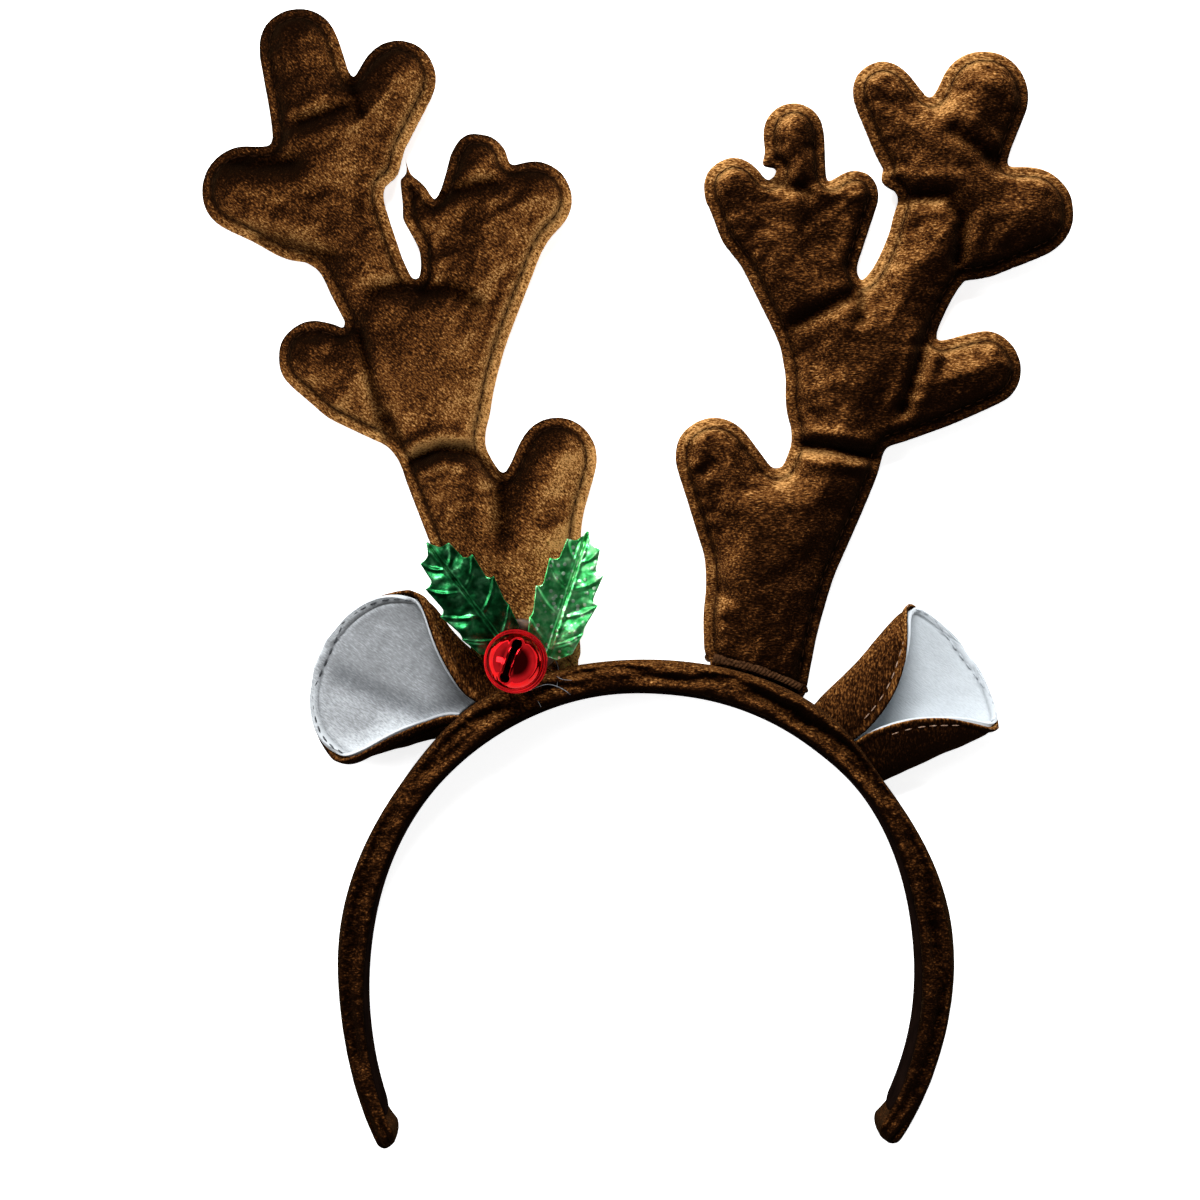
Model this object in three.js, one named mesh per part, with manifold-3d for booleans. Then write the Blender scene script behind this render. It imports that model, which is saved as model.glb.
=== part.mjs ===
// Reindeer antler headband, laid on its back on a table. Millimetres, +Z up and away from the table,
// +Y from the wearer's chin to the crown, +X to the right of someone who looks at the front.
// A sprung plastic strip, a padded velvet cover over it, two stuffed antlers, two lined ears, and a
// holly and bell trim that is glued to the foot of the left antler.
import * as THREE from 'three';
import Module from 'manifold-3d';
import { mergeVertices } from 'three/addons/utils/BufferGeometryUtils.js';

const { clamp, degToRad, lerp } = THREE.MathUtils;

// Band
const gap = 0.3; // between pieces that touch
const headWidth = 131; // inside the band at its widest
const stripThickness = 1.6;
const stripWidth = 13; // front to back
const stripEndTurn = 127; // degrees from the crown to each end of the strip
const coverWidth = 15; // front to back
const coverPadding = 8; // velvet and wadding outside the strip
const coverEndTurn = 131.5;
const coverTuck = 2; // degrees over which the cover turns in past the strip
const coverEndRound = 5; // length over which the cover closes at its ends

// Antlers
const leftAntlerWidth = 96;
const leftAntlerHeight = 164;
const leftAntlerTurn = -25; // place of the foot on the band
const rightAntlerWidth = 96;
const rightAntlerHeight = 153;
const rightAntlerTurn = 26;
const tineRadius = 10;
const tineWeb = 1.8; // fillet in the notches between tines
const flangeWidth = 2.6; // both panels flat outside the seam
const flangeThickness = 1.6;
const antlerMiddle = 6; // height of the seam above the table
const stuffingHeight = 6.9; // stuffed panel above the flange
const stuffingReach = 9; // from the seam to the full height of the stuffing
const thinTineFill = 0.2; // that a thin tine is fuller than its radius gives, as a share of stuffingHeight
const webFullness = 0.86; // height between the tines as a share of stuffingHeight
const antlerFacet = 4.5; // spacing of the points that the panels are worked out at

// Ears
const earCloth = 1; // each of the two layers
const earLift = 0.4; // back of the ears above the table
const earSeat = 0.6; // further than the gap, because the cloth's edge is square to the fold
const leftEarLength = 36.5;
const leftEarWidth = 42;
const leftEarDepth = 11;
const leftEarTurn = -41.5;
const leftEarHeading = 156; // degrees, anticlockwise from +X
const rightEarLength = 34.5;
const rightEarWidth = 34.6;
const rightEarDepth = 11.5;
const rightEarTurn = 49;
const rightEarHeading = 36;

// Trim
const bellDiameter = 15;
const bellWall = 0.5;
const bellSlotWidth = 1.5;
const bellSlotLength = 8.2;
const bellHoleDiameter = 2.4;
const bellTilt = 70; // heading of the slot in degrees
const pelletDiameter = 4;
const leafThickness = 0.6;
const leftLeafLength = 31;
const leftLeafWidth = 15.5;
const rightLeafLength = 31;
const rightLeafWidth = 15;
const leafFold = 0.22; // rise of the leaf's edges beside its midrib, as a slope
const leftLeafHeading = 127;
const leftLeafAside = -2.4; // foot of the leaf from the middle of the bell
const leftLeafUp = 3;
const rightLeafHeading = 72;
const rightLeafAside = 7.2;
const rightLeafUp = 0.9;
const bellAside = -3.4; // middle of the bell from the foot of the antler
const bellUp = 7.6;
const glueThickness = 1.1;
const glueLength = 20;
const glueWidth = 15;
const glueAside = 1; // middle of the glue from the middle of the bell
const glueUp = 3.2;
const glueStalk = 2.6; // radius of the rises that hold the bell and the leaves
const glueLift = 0.6; // above the velvet, whose facets are coarse
const glueThinning = 0.6; // share of the thickness that is lost towards its edge
const braidWidth = 2.6;
const braidThickness = 1.2;
const braidFromCover = 0.3; // further than the gap
const braidLift = 0.9; // above the velvet, whose facets are coarse
const braidFromTurn = 13.5;
const braidToTurn = 38;

// Inner edge of the strip and padding of the cover, by degrees from the crown.
// inner is a share of half the head width, padding a share of coverPadding.
const bandRows = [
  { turn: -132, inner: 1.176, padding: 0.42 },
  { turn: -110, inner: 1.056, padding: 0.54 },
  { turn: -90, inner: 0.977, padding: 0.73 },
  { turn: -60, inner: 0.906, padding: 0.68 },
  { turn: -35, inner: 0.866, padding: 0.94 },
  { turn: -10, inner: 0.850, padding: 0.76 },
  { turn: 10, inner: 0.850, padding: 0.79 },
  { turn: 42, inner: 0.893, padding: 0.88 },
  { turn: 60, inner: 0.938, padding: 0.52 },
  { turn: 90, inner: 0.994, padding: 0.88 },
  { turn: 115, inner: 1.074, padding: 0.68 },
  { turn: 132, inner: 1.132, padding: 0.56 },
];

// Lengthwise folds of the cover. across runs from the strip (0) to the outer edge (1),
// depth and spread are shares of coverPadding.
const coverFolds = [
  { from: 24, to: 66, across: 0.52, depth: 0.34, spread: 0.16 },
  { from: 72, to: 126, across: 0.45, depth: 0.12, spread: 0.14 },
  { from: -118, to: -62, across: 0.50, depth: 0.13, spread: 0.14 },
  { from: -58, to: -28, across: 0.62, depth: 0.10, spread: 0.12 },
];

// Limbs of the antlers, each a run of rounds that melt together. x and y are shares of the antler's
// width and height from the middle of its foot, r a share of tineRadius.
const leftAntlerLimbs = {
  stem: [
    { x: 0.02, y: -0.04, r: 1.14 },
    { x: -0.026, y: 0.10, r: 1.35 },
    { x: -0.10, y: 0.19, r: 1.22 },
    { x: -0.15, y: 0.25, r: 1.15 },
    { x: -0.225, y: 0.34, r: 1.01 },
    { x: -0.235, y: 0.42, r: 1.14 },
  ],
  innerTine: [
    { x: -0.01, y: 0.14, r: 1.25 },
    { x: 0.015, y: 0.26, r: 1.04 },
    { x: 0.062, y: 0.342, r: 0.98 },
  ],
  outerTine: [
    { x: -0.23, y: 0.42, r: 1.14 },
    { x: -0.33, y: 0.427, r: 1.16 },
    { x: -0.45, y: 0.452, r: 1.04 },
    { x: -0.54, y: 0.488, r: 0.92 },
  ],
  outerBranch: [
    { x: -0.23, y: 0.42, r: 1.14 },
    { x: -0.34, y: 0.52, r: 0.94 },
    { x: -0.415, y: 0.607, r: 0.96 },
    { x: -0.475, y: 0.70, r: 1.02 },
  ],
  sideTine: [
    { x: -0.50, y: 0.69, r: 1.20 },
    { x: -0.575, y: 0.715, r: 1.43 },
    { x: -0.7175, y: 0.733, r: 1.06 },
  ],
  outerCrownTine: [
    { x: -0.51, y: 0.73, r: 1.18 },
    { x: -0.545, y: 0.85, r: 1.06 },
    { x: -0.583, y: 0.941, r: 0.97 },
  ],
  innerCrownTine: [
    { x: -0.475, y: 0.745, r: 0.96 },
    { x: -0.395, y: 0.83, r: 0.94 },
    { x: -0.335, y: 0.897, r: 0.93 },
  ],
  innerBranch: [
    { x: -0.23, y: 0.42, r: 1.14 },
    { x: -0.187, y: 0.53, r: 1.22 },
    { x: -0.130, y: 0.63, r: 1.30 },
    { x: -0.10, y: 0.68, r: 1.32 },
    { x: 0.003, y: 0.719, r: 0.93 },
  ],
  middleTine: [
    { x: -0.13, y: 0.66, r: 1.10 },
    { x: -0.16, y: 0.725, r: 0.66 },
    { x: -0.134, y: 0.776, r: 0.69 },
  ],
  thorn: [
    { x: -0.185, y: 0.66, r: 1.00 },
    { x: -0.262, y: 0.695, r: 0.60 },
    { x: -0.321, y: 0.755, r: 0.12 },
  ],
};

const rightAntlerLimbs = {
  stem: [
    { x: -0.004, y: -0.04, r: 1.15 },
    { x: 0.016, y: 0.11, r: 1.39 },
    { x: 0.08, y: 0.205, r: 1.20 },
    { x: 0.155, y: 0.295, r: 1.10 },
    { x: 0.205, y: 0.367, r: 1.08 },
    { x: 0.215, y: 0.446, r: 1.16 },
  ],
  innerTine: [
    { x: 0.01, y: 0.14, r: 1.25 },
    { x: -0.005, y: 0.22, r: 1.14 },
    { x: -0.045, y: 0.30, r: 1.14 },
    { x: -0.100, y: 0.367, r: 0.96 },
  ],
  outerTine: [
    { x: 0.205, y: 0.457, r: 1.15 },
    { x: 0.335, y: 0.453, r: 1.03 },
    { x: 0.46, y: 0.479, r: 1.00 },
    { x: 0.573, y: 0.505, r: 0.92 },
  ],
  innerBranch: [
    { x: 0.208, y: 0.457, r: 1.12 },
    { x: 0.173, y: 0.567, r: 1.10 },
    { x: 0.098, y: 0.695, r: 1.33 },
    { x: 0.01, y: 0.735, r: 0.99 },
    { x: -0.05, y: 0.787, r: 0.76 },
  ],
  middleTine: [
    { x: 0.10, y: 0.72, r: 1.00 },
    { x: 0.112, y: 0.803, r: 0.64 },
    { x: 0.097, y: 0.875, r: 0.75 },
  ],
  budTine: [
    { x: 0.14, y: 0.66, r: 1.00 },
    { x: 0.199, y: 0.705, r: 0.71 },
    { x: 0.252, y: 0.780, r: 0.59 },
  ],
  outerBranch: [
    { x: 0.205, y: 0.457, r: 1.20 },
    { x: 0.308, y: 0.543, r: 1.18 },
    { x: 0.394, y: 0.637, r: 1.00 },
    { x: 0.472, y: 0.73, r: 1.09 },
  ],
  sideTine: [
    { x: 0.46, y: 0.73, r: 1.10 },
    { x: 0.55, y: 0.723, r: 1.20 },
    { x: 0.682, y: 0.750, r: 1.12 },
  ],
  outerCrownTine: [
    { x: 0.49, y: 0.76, r: 1.02 },
    { x: 0.53, y: 0.848, r: 0.98 },
    { x: 0.572, y: 0.933, r: 1.10 },
  ],
  innerCrownTine: [
    { x: 0.464, y: 0.795, r: 0.99 },
    { x: 0.390, y: 0.865, r: 0.93 },
    { x: 0.322, y: 0.938, r: 0.76 },
  ],
};

// Creases of the stuffed panels, each from one point to another. depth is a share of the stuffing
// there, spread a share of tineRadius.
const leftAntlerCreases = [
  { x1: -0.30, y1: 0.338, x2: -0.10, y2: 0.33, depth: 0.55, spread: 0.16 },
  { x1: -0.43, y1: 0.525, x2: -0.36, y2: 0.37, depth: 0.50, spread: 0.15 },
  { x1: -0.075, y1: 0.31, x2: -0.075, y2: 0.23, depth: 0.45, spread: 0.22 },
  { x1: -0.59, y1: 0.835, x2: -0.46, y2: 0.86, depth: 0.38, spread: 0.24 },
  { x1: -0.40, y1: 0.585, x2: -0.13, y2: 0.57, depth: 0.32, spread: 0.22 },
  { x1: -0.73, y1: 0.775, x2: -0.60, y2: 0.765, depth: 0.30, spread: 0.22 },
  { x1: -0.22, y1: 0.735, x2: -0.05, y2: 0.73, depth: 0.28, spread: 0.20 },
];
const rightAntlerCreases = [
  { x1: 0.11, y1: 0.372, x2: 0.33, y2: 0.36, depth: 0.60, spread: 0.17 },
  { x1: 0.42, y1: 0.545, x2: 0.37, y2: 0.43, depth: 0.48, spread: 0.15 },
  { x1: 0.09, y1: 0.575, x2: 0.25, y2: 0.625, depth: 0.45, spread: 0.17 },
  { x1: 0.36, y1: 0.765, x2: 0.50, y2: 0.755, depth: 0.50, spread: 0.20 },
  { x1: 0.50, y1: 0.88, x2: 0.60, y2: 0.82, depth: 0.38, spread: 0.20 },
  { x1: 0.50, y1: 0.73, x2: 0.53, y2: 0.67, depth: 0.32, spread: 0.18 },
  { x1: 0.06, y1: 0.35, x2: 0.06, y2: 0.27, depth: 0.30, spread: 0.24 },
];

// Ears, by share of the length. half is a share of the width, wrap the degrees that the cloth turns
// to each side of its back, depth a share of the ear's depth.
const leftEarRows = [
  { along: 0.00, half: 0.155, wrap: 166, depth: 0.70 },
  { along: 0.10, half: 0.20, wrap: 162, depth: 0.80 },
  { along: 0.21, half: 0.27, wrap: 150, depth: 0.92 },
  { along: 0.35, half: 0.37, wrap: 133, depth: 1.00 },
  { along: 0.52, half: 0.49, wrap: 112, depth: 0.90 },
  { along: 0.66, half: 0.50, wrap: 86, depth: 0.80 },
  { along: 0.82, half: 0.46, wrap: 66, depth: 0.70 },
  { along: 0.94, half: 0.38, wrap: 44, depth: 0.60 },
  { along: 1.00, half: 0.30, wrap: 16, depth: 0.55 },
];
const rightEarRows = [
  { along: 0.00, half: 0.32, wrap: 172, depth: 0.75 },
  { along: 0.14, half: 0.35, wrap: 170, depth: 0.85 },
  { along: 0.36, half: 0.39, wrap: 167, depth: 1.00 },
  { along: 0.56, half: 0.44, wrap: 152, depth: 1.00 },
  { along: 0.74, half: 0.48, wrap: 130, depth: 0.92 },
  { along: 0.86, half: 0.50, wrap: 96, depth: 0.80 },
  { along: 0.93, half: 0.49, wrap: 60, depth: 0.70 },
  { along: 0.98, half: 0.46, wrap: 34, depth: 0.62 },
  { along: 1.00, half: 0.42, wrap: 10, depth: 0.60 },
];

// Holly leaf from its foot to its tip. left and right are shares of the width on each side of the
// midrib, lean the share of the length by which that edge point reaches forward, rise the height of
// the midrib as a share of the length.
const leafRows = [
  { along: 0.00, left: 0.10, right: 0.10, lean: 0.00, rise: 0.00 },
  { along: 0.08, left: 0.32, right: 0.30, lean: 0.00, rise: 0.01 },
  { along: 0.17, left: 0.42, right: 0.38, lean: 0.09, rise: 0.03 },
  { along: 0.30, left: 0.33, right: 0.31, lean: 0.00, rise: 0.05 },
  { along: 0.40, left: 0.50, right: 0.50, lean: 0.10, rise: 0.06 },
  { along: 0.53, left: 0.31, right: 0.31, lean: 0.00, rise: 0.07 },
  { along: 0.62, left: 0.42, right: 0.43, lean: 0.11, rise: 0.08 },
  { along: 0.76, left: 0.20, right: 0.21, lean: 0.00, rise: 0.08 },
  { along: 0.83, left: 0.24, right: 0.24, lean: 0.08, rise: 0.08 },
  { along: 0.93, left: 0.07, right: 0.07, lean: 0.00, rise: 0.07 },
  { along: 1.00, left: 0.012, right: 0.012, lean: 0.00, rise: 0.06 },
];

// Reads one column of a table at a place between its rows, on a smooth curve through them.
function readTable(rows, axis, column, place) {
  const last = rows.length - 1;
  let i = 0;
  while (i < last - 1 && place > rows[i + 1][axis]) i += 1;
  const before = rows[Math.max(i - 1, 0)];
  const from = rows[i];
  const to = rows[i + 1];
  const after = rows[Math.min(i + 2, last)];
  const span = to[axis] - from[axis];
  const t = clamp((place - from[axis]) / span, 0, 1);
  const startSlope = (span * (to[column] - before[column])) / (to[axis] - before[axis]);
  const endSlope = (span * (after[column] - from[column])) / (after[axis] - from[axis]);
  const rise = to[column] - from[column];
  const bend = startSlope + endSlope - 2 * rise;
  return from[column] + t * (startSlope + t * (rise - startSlope - bend * (1 - t)));
}

function steps(count) {
  return Array.from({ length: count + 1 }, (_, i) => i / count);
}

function smoothMin(a, b, blend) {
  const near = Math.max(blend - Math.abs(a - b), 0) / blend;
  return Math.min(a, b) - (near * near * blend) / 4;
}

// Builds a geometry from points and triangles, and turns it right side out.
function closedGeometry(points, triangles) {
  let volume = 0;
  for (const [a, b, c] of triangles) {
    volume += points[a].dot(new THREE.Vector3().crossVectors(points[b], points[c]));
  }
  const index = triangles.flatMap(([a, b, c]) => (volume > 0 ? [a, b, c] : [a, c, b]));
  const geometry = new THREE.BufferGeometry();
  geometry.setFromPoints(points);
  geometry.setIndex(index);
  geometry.computeVertexNormals();
  return geometry;
}

// Skins closed rings of points, and closes both ends with a fan round their middle.
function loft(rings) {
  const size = rings[0].length;
  const points = rings.flat();
  const triangles = [];
  for (let r = 0; r < rings.length - 1; r += 1) {
    for (let k = 0; k < size; k += 1) {
      const a = r * size + k;
      const b = r * size + ((k + 1) % size);
      triangles.push([a, b, b + size], [a, b + size, a + size]);
    }
  }
  for (const [ring, turned] of [[0, true], [rings.length - 1, false]]) {
    const middle = new THREE.Vector3();
    rings[ring].forEach((point) => middle.addScaledVector(point, 1 / size));
    points.push(middle);
    for (let k = 0; k < size; k += 1) {
      const a = ring * size + k;
      const b = ring * size + ((k + 1) % size);
      triangles.push(turned ? [b, a, points.length - 1] : [a, b, points.length - 1]);
    }
  }
  return closedGeometry(points, triangles);
}

// Gives a grid of points a thickness to both sides, moved along its normal by shift.
function thickSheet(grid, thickness, shift = 0) {
  const rows = grid.length;
  const columns = grid[0].length;
  const normalAt = (r, c) => {
    const down = grid[Math.min(r + 1, rows - 1)][c].clone().sub(grid[Math.max(r - 1, 0)][c]);
    const across = grid[r][Math.min(c + 1, columns - 1)].clone().sub(grid[r][Math.max(c - 1, 0)]);
    return down.cross(across).normalize();
  };
  const points = [];
  for (const side of [1, -1]) {
    grid.forEach((row, r) => row.forEach((point, c) => {
      points.push(point.clone().addScaledVector(normalAt(r, c), shift + (side * thickness) / 2));
    }));
  }
  const back = rows * columns;
  const triangles = [];
  const quad = (a, b, c, d) => triangles.push([a, b, c], [a, c, d]);
  for (let r = 0; r < rows - 1; r += 1) {
    for (let c = 0; c < columns - 1; c += 1) {
      const a = r * columns + c;
      quad(a, a + columns, a + columns + 1, a + 1);
      quad(back + a, back + a + 1, back + a + columns + 1, back + a + columns);
    }
  }
  for (let c = 0; c < columns - 1; c += 1) {
    const end = (rows - 1) * columns + c;
    quad(c, c + 1, back + c + 1, back + c);
    quad(end, back + end, back + end + 1, end + 1);
  }
  for (let r = 0; r < rows - 1; r += 1) {
    const a = r * columns;
    const b = a + columns - 1;
    quad(a, back + a, back + a + columns, a + columns);
    quad(b, b + columns, back + b + columns, back + b);
  }
  return closedGeometry(points, triangles);
}

// Band: places by degrees from the crown, and its inner and outer radius there.
const bandCentreY = (-headWidth / 2) * readTable(bandRows, 'turn', 'inner', 0);

function innerRadius(turn) {
  return (headWidth / 2) * readTable(bandRows, 'turn', 'inner', turn);
}

// The cover lies on the strip, and turns in over its ends.
function coverInnerRadius(turn) {
  const pastStrip = clamp((Math.abs(turn) - stripEndTurn - coverTuck / 4) / coverTuck, 0, 1);
  return innerRadius(turn) + (stripThickness + gap) * (1 - pastStrip);
}

function coverThickness(turn) {
  return coverPadding * readTable(bandRows, 'turn', 'padding', turn);
}

function outerRadius(turn) {
  return innerRadius(turn) + stripThickness + gap + coverThickness(turn);
}

function bandPoint(turn, radius, z) {
  const angle = degToRad(turn);
  return new THREE.Vector3(radius * Math.sin(angle), bandCentreY + radius * Math.cos(angle), z);
}

// How far a point lies outside the cover, seen from the front.
function clearOfBand(x, y) {
  const turn = THREE.MathUtils.radToDeg(Math.atan2(x, y - bandCentreY));
  return Math.hypot(x, y - bandCentreY) - outerRadius(turn) - gap;
}

function stripGeometry() {
  const sections = 38;
  const low = (coverWidth - stripWidth) / 2;
  const corner = stripThickness / 4;
  return loft(steps(sections).map((share) => {
    const turn = lerp(-stripEndTurn, stripEndTurn, share);
    const inner = innerRadius(turn);
    const outer = inner + stripThickness;
    return [
      bandPoint(turn, inner + corner, low),
      bandPoint(turn, outer, low),
      bandPoint(turn, outer, low + stripWidth),
      bandPoint(turn, inner + corner, low + stripWidth),
      bandPoint(turn, inner, low + stripWidth - corner),
      bandPoint(turn, inner, low + corner),
    ];
  }));
}

// Depth of the cover's folds at a turn, for a point of its front at a share across.
function foldDepth(turn, across) {
  return coverFolds.reduce((depth, fold) => {
    const run = clamp(Math.min(turn - fold.from, fold.to - turn) / 6, 0, 1);
    const near = Math.exp(-(((across - fold.across) / fold.spread) ** 2));
    return depth + coverPadding * fold.depth * run * near;
  }, 0);
}

function coverGeometry() {
  const sections = 56;
  const sides = 12;
  const squareness = 0.55;
  const endShare = (coverEndRound / outerRadius(coverEndTurn)) * (180 / Math.PI) / (2 * coverEndTurn);
  const closing = [0.04, 0.3, 0.65].map((share) => share * endShare);
  const even = steps(sections).filter((share) => Math.min(share, 1 - share) >= endShare);
  const places = [...closing, ...even, ...closing.map((share) => 1 - share).reverse()];
  return loft(places.map((share) => {
    const turn = lerp(-coverEndTurn, coverEndTurn, share);
    const toEnd = clamp(Math.min(share, 1 - share) / endShare, 0, 1);
    const full = Math.sqrt(1 - (1 - toEnd) ** 2);
    const inner = coverInnerRadius(turn);
    const thick = outerRadius(turn) - inner;
    const middle = coverWidth / 2;
    return steps(sides).map((around) => {
      const angle = Math.PI * around;
      const bulge = Math.sin(angle) ** squareness;
      const side = -Math.sign(Math.cos(angle)) * Math.abs(Math.cos(angle)) ** squareness;
      const fold = side > 0 ? foldDepth(turn, bulge) * side : 0;
      const radius = inner + thick * (1 / 2 + (bulge - 1 / 2) * full);
      return bandPoint(turn, radius, middle + (middle * side - fold) * full);
    });
  }));
}

// Distance of a point from one limb's outline, with its distance from the axis and the radius there.
function nearLimb(limb, x, y) {
  let nearest = { outside: Infinity };
  for (let i = 0; i < limb.length - 1; i += 1) {
    const from = limb[i];
    const dx = limb[i + 1].x - from.x;
    const dy = limb[i + 1].y - from.y;
    const along = ((x - from.x) * dx + (y - from.y) * dy) / (dx * dx + dy * dy);
    const t = clamp(along, 0, 1);
    const radius = lerp(from.r, limb[i + 1].r, t);
    const away = Math.hypot(x - from.x - t * dx, y - from.y - t * dy);
    if (away - radius < nearest.outside) nearest = { outside: away - radius, away, radius };
  }
  return nearest;
}

function distanceToCrease(crease, x, y) {
  const dx = crease.x2 - crease.x1;
  const dy = crease.y2 - crease.y1;
  const along = ((x - crease.x1) * dx + (y - crease.y1) * dy) / (dx * dx + dy * dy);
  const t = clamp(along, 0, 1);
  return Math.hypot(x - crease.x1 - t * dx, y - crease.y1 - t * dy);
}

// An antler's outline, seam and stuffing as functions of the place, from its tables. Its tables start
// halfway into the padding of the cover.
function antlerForm({ width, height, turn, limbs, creases }) {
  const foot = bandPoint(turn, outerRadius(turn) - coverThickness(turn) / 2, 0);
  const placeX = (share) => foot.x + share * width;
  const placeY = (share) => foot.y + share * height;
  const runs = Object.values(limbs).map((limb) => limb.map(({ x, y, r }) => (
    { x: placeX(x), y: placeY(y), r: r * tineRadius })));
  const lines = creases.map(({ x1, y1, x2, y2, depth, spread }) => (
    { x1: placeX(x1), y1: placeY(y1), x2: placeX(x2), y2: placeY(y2), depth, spread: spread * tineRadius }));
  const outline = (x, y) => runs.reduce((nearest, limb) => (
    smoothMin(nearest, nearLimb(limb, x, y).outside, tineWeb)), 1e3);
  const stuffing = (x, y) => {
    let lift = 0;
    for (const limb of runs) {
      const { away, radius } = nearLimb(limb, x, y);
      const inside = Math.max(radius - flangeWidth, flangeWidth / 4);
      const full = stuffingHeight * Math.min(1, inside / tineRadius + thinTineFill);
      lift = Math.max(lift, full * Math.sqrt(Math.max(1 - (away / inside) ** 2, 0)));
    }
    const fromSeam = clamp(-(outline(x, y) + flangeWidth) / stuffingReach, 0, 1);
    lift = Math.max(lift, webFullness * stuffingHeight * Math.sqrt(1 - (1 - fromSeam) ** 2));
    for (const line of lines) {
      lift *= 1 - line.depth * Math.exp(-((distanceToCrease(line, x, y) / line.spread) ** 2));
    }
    return lift;
  };
  const frontHeight = (x, y) => antlerMiddle + flangeThickness / 2 + stuffing(x, y);
  const backHeight = (x, y) => Math.max(antlerMiddle - flangeThickness / 2 - stuffing(x, y), 0);
  return { outline, frontHeight, backHeight, runs, foot };
}

// Moves grid points that lie close to a line where the field is nought onto that line.
function snapToLine(point, field, reach) {
  const probe = 0.01;
  for (let i = 0; i < 3; i += 1) {
    const value = field(point.x, point.y);
    if (Math.abs(value) > reach) return false;
    const slopeX = (field(point.x + probe, point.y) - value) / probe;
    const slopeY = (field(point.x, point.y + probe) - value) / probe;
    const steep = slopeX ** 2 + slopeY ** 2 + 1e-9;
    point.x -= (value * slopeX) / steep;
    point.y -= (value * slopeY) / steep;
  }
  return true;
}

// Divides triangles whose edges step over a narrow slit between two limbs.
function refineAcross(triangles, points, field) {
  const halves = new Map();
  const halve = (a, b) => {
    const key = `${Math.min(a, b)}_${Math.max(a, b)}`;
    if (!halves.has(key)) {
      const low = points[Math.min(a, b)];
      const high = points[Math.max(a, b)];
      const lowSide = Math.sign(field(low.x, low.y));
      const highSide = Math.sign(field(high.x, high.y));
      let found = -1;
      for (const t of [0.5, 0.35, 0.65]) {
        const middle = new THREE.Vector2().lerpVectors(low, high, t);
        const side = Math.sign(field(middle.x, middle.y));
        if (found < 0 && lowSide * highSide > 0 && side * lowSide < 0) {
          points.push(middle);
          found = points.length - 1;
        }
      }
      halves.set(key, found);
    }
    return halves.get(key);
  };
  return triangles.flatMap(([a, b, c]) => {
    const [ab, bc, ca] = [halve(a, b), halve(b, c), halve(c, a)];
    const cuts = [ab, bc, ca].filter((cut) => cut >= 0).length;
    if (cuts === 0) return [[a, b, c]];
    if (cuts === 3) return [[a, ab, ca], [ab, b, bc], [ca, bc, c], [ab, bc, ca]];
    let ring = [a, ab, b, bc, c, ca];
    while (ring[1] < 0 || (cuts === 2 && ring[3] < 0)) ring = [...ring.slice(2), ...ring.slice(0, 2)];
    const [p, pq, q, qr, r] = ring;
    if (cuts === 1) return [[p, pq, r], [pq, q, r]];
    return [[pq, q, qr], [p, pq, qr], [p, qr, r]];
  });
}

// Cuts polygons along the line where the field is nought, into those inside it and those outside.
function splitAlong(polygons, points, field) {
  const touching = 1e-3;
  const cuts = new Map();
  const values = new Map();
  const valueAt = (id) => {
    if (!values.has(id)) {
      const value = field(points[id].x, points[id].y);
      values.set(id, Math.abs(value) < touching ? 0 : value);
    }
    return values.get(id);
  };
  const cutBetween = (a, b) => {
    const key = `${Math.min(a, b)}_${Math.max(a, b)}`;
    if (!cuts.has(key)) {
      const within = points[valueAt(a) < 0 ? a : b].clone();
      const without = points[valueAt(a) < 0 ? b : a].clone();
      for (let i = 0; i < 16; i += 1) {
        const middle = within.clone().lerp(without, 0.5);
        (field(middle.x, middle.y) < 0 ? within : without).copy(middle);
      }
      points.push(within);
      values.set(points.length - 1, 0);
      cuts.set(key, points.length - 1);
    }
    return cuts.get(key);
  };
  const inside = [];
  const outside = [];
  for (const polygon of polygons) {
    const lowest = Math.min(...polygon.map(valueAt));
    const highest = Math.max(...polygon.map(valueAt));
    if (lowest < 0 && highest > 0) {
      const inner = [];
      const outer = [];
      polygon.forEach((a, i) => {
        const b = polygon[(i + 1) % polygon.length];
        if (valueAt(a) <= 0) inner.push(a);
        if (valueAt(a) >= 0) outer.push(a);
        if (valueAt(a) * valueAt(b) < 0) {
          const cut = cutBetween(a, b);
          inner.push(cut);
          outer.push(cut);
        }
      });
      inside.push(inner);
      outside.push(outer);
    } else {
      const middle = new THREE.Vector2();
      polygon.forEach((id) => middle.addScaledVector(points[id], 1 / polygon.length));
      (field(middle.x, middle.y) < 0 ? inside : outside).push(polygon);
    }
  }
  return { inside, outside };
}

// Where the outline touches itself at a point, gives each side a point of its own, a little inside.
function partTouching(triangles, points) {
  const inwards = 0.1;
  const around = new Map();
  triangles.forEach((triangle, t) => triangle.forEach((id) => {
    around.set(id, [...(around.get(id) ?? []), t]);
  }));
  for (const [id, touching] of around) {
    const fans = [];
    const left = new Set(touching);
    while (left.size > 0) {
      const fan = [left.values().next().value];
      left.delete(fan[0]);
      for (const t of fan) {
        for (const other of left) {
          if (triangles[t].some((corner) => corner !== id && triangles[other].includes(corner))) {
            fan.push(other);
            left.delete(other);
          }
        }
      }
      fans.push(fan);
    }
    for (const fan of fans.length > 1 ? fans : []) {
      const corners = fan.flatMap((t) => triangles[t]);
      const middle = new THREE.Vector2();
      corners.forEach((corner) => middle.addScaledVector(points[corner], 1 / corners.length));
      points.push(points[id].clone().lerp(middle, inwards));
      for (const t of fan) {
        triangles[t] = triangles[t].map((corner) => (corner === id ? points.length - 1 : corner));
      }
    }
  }
}

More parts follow.
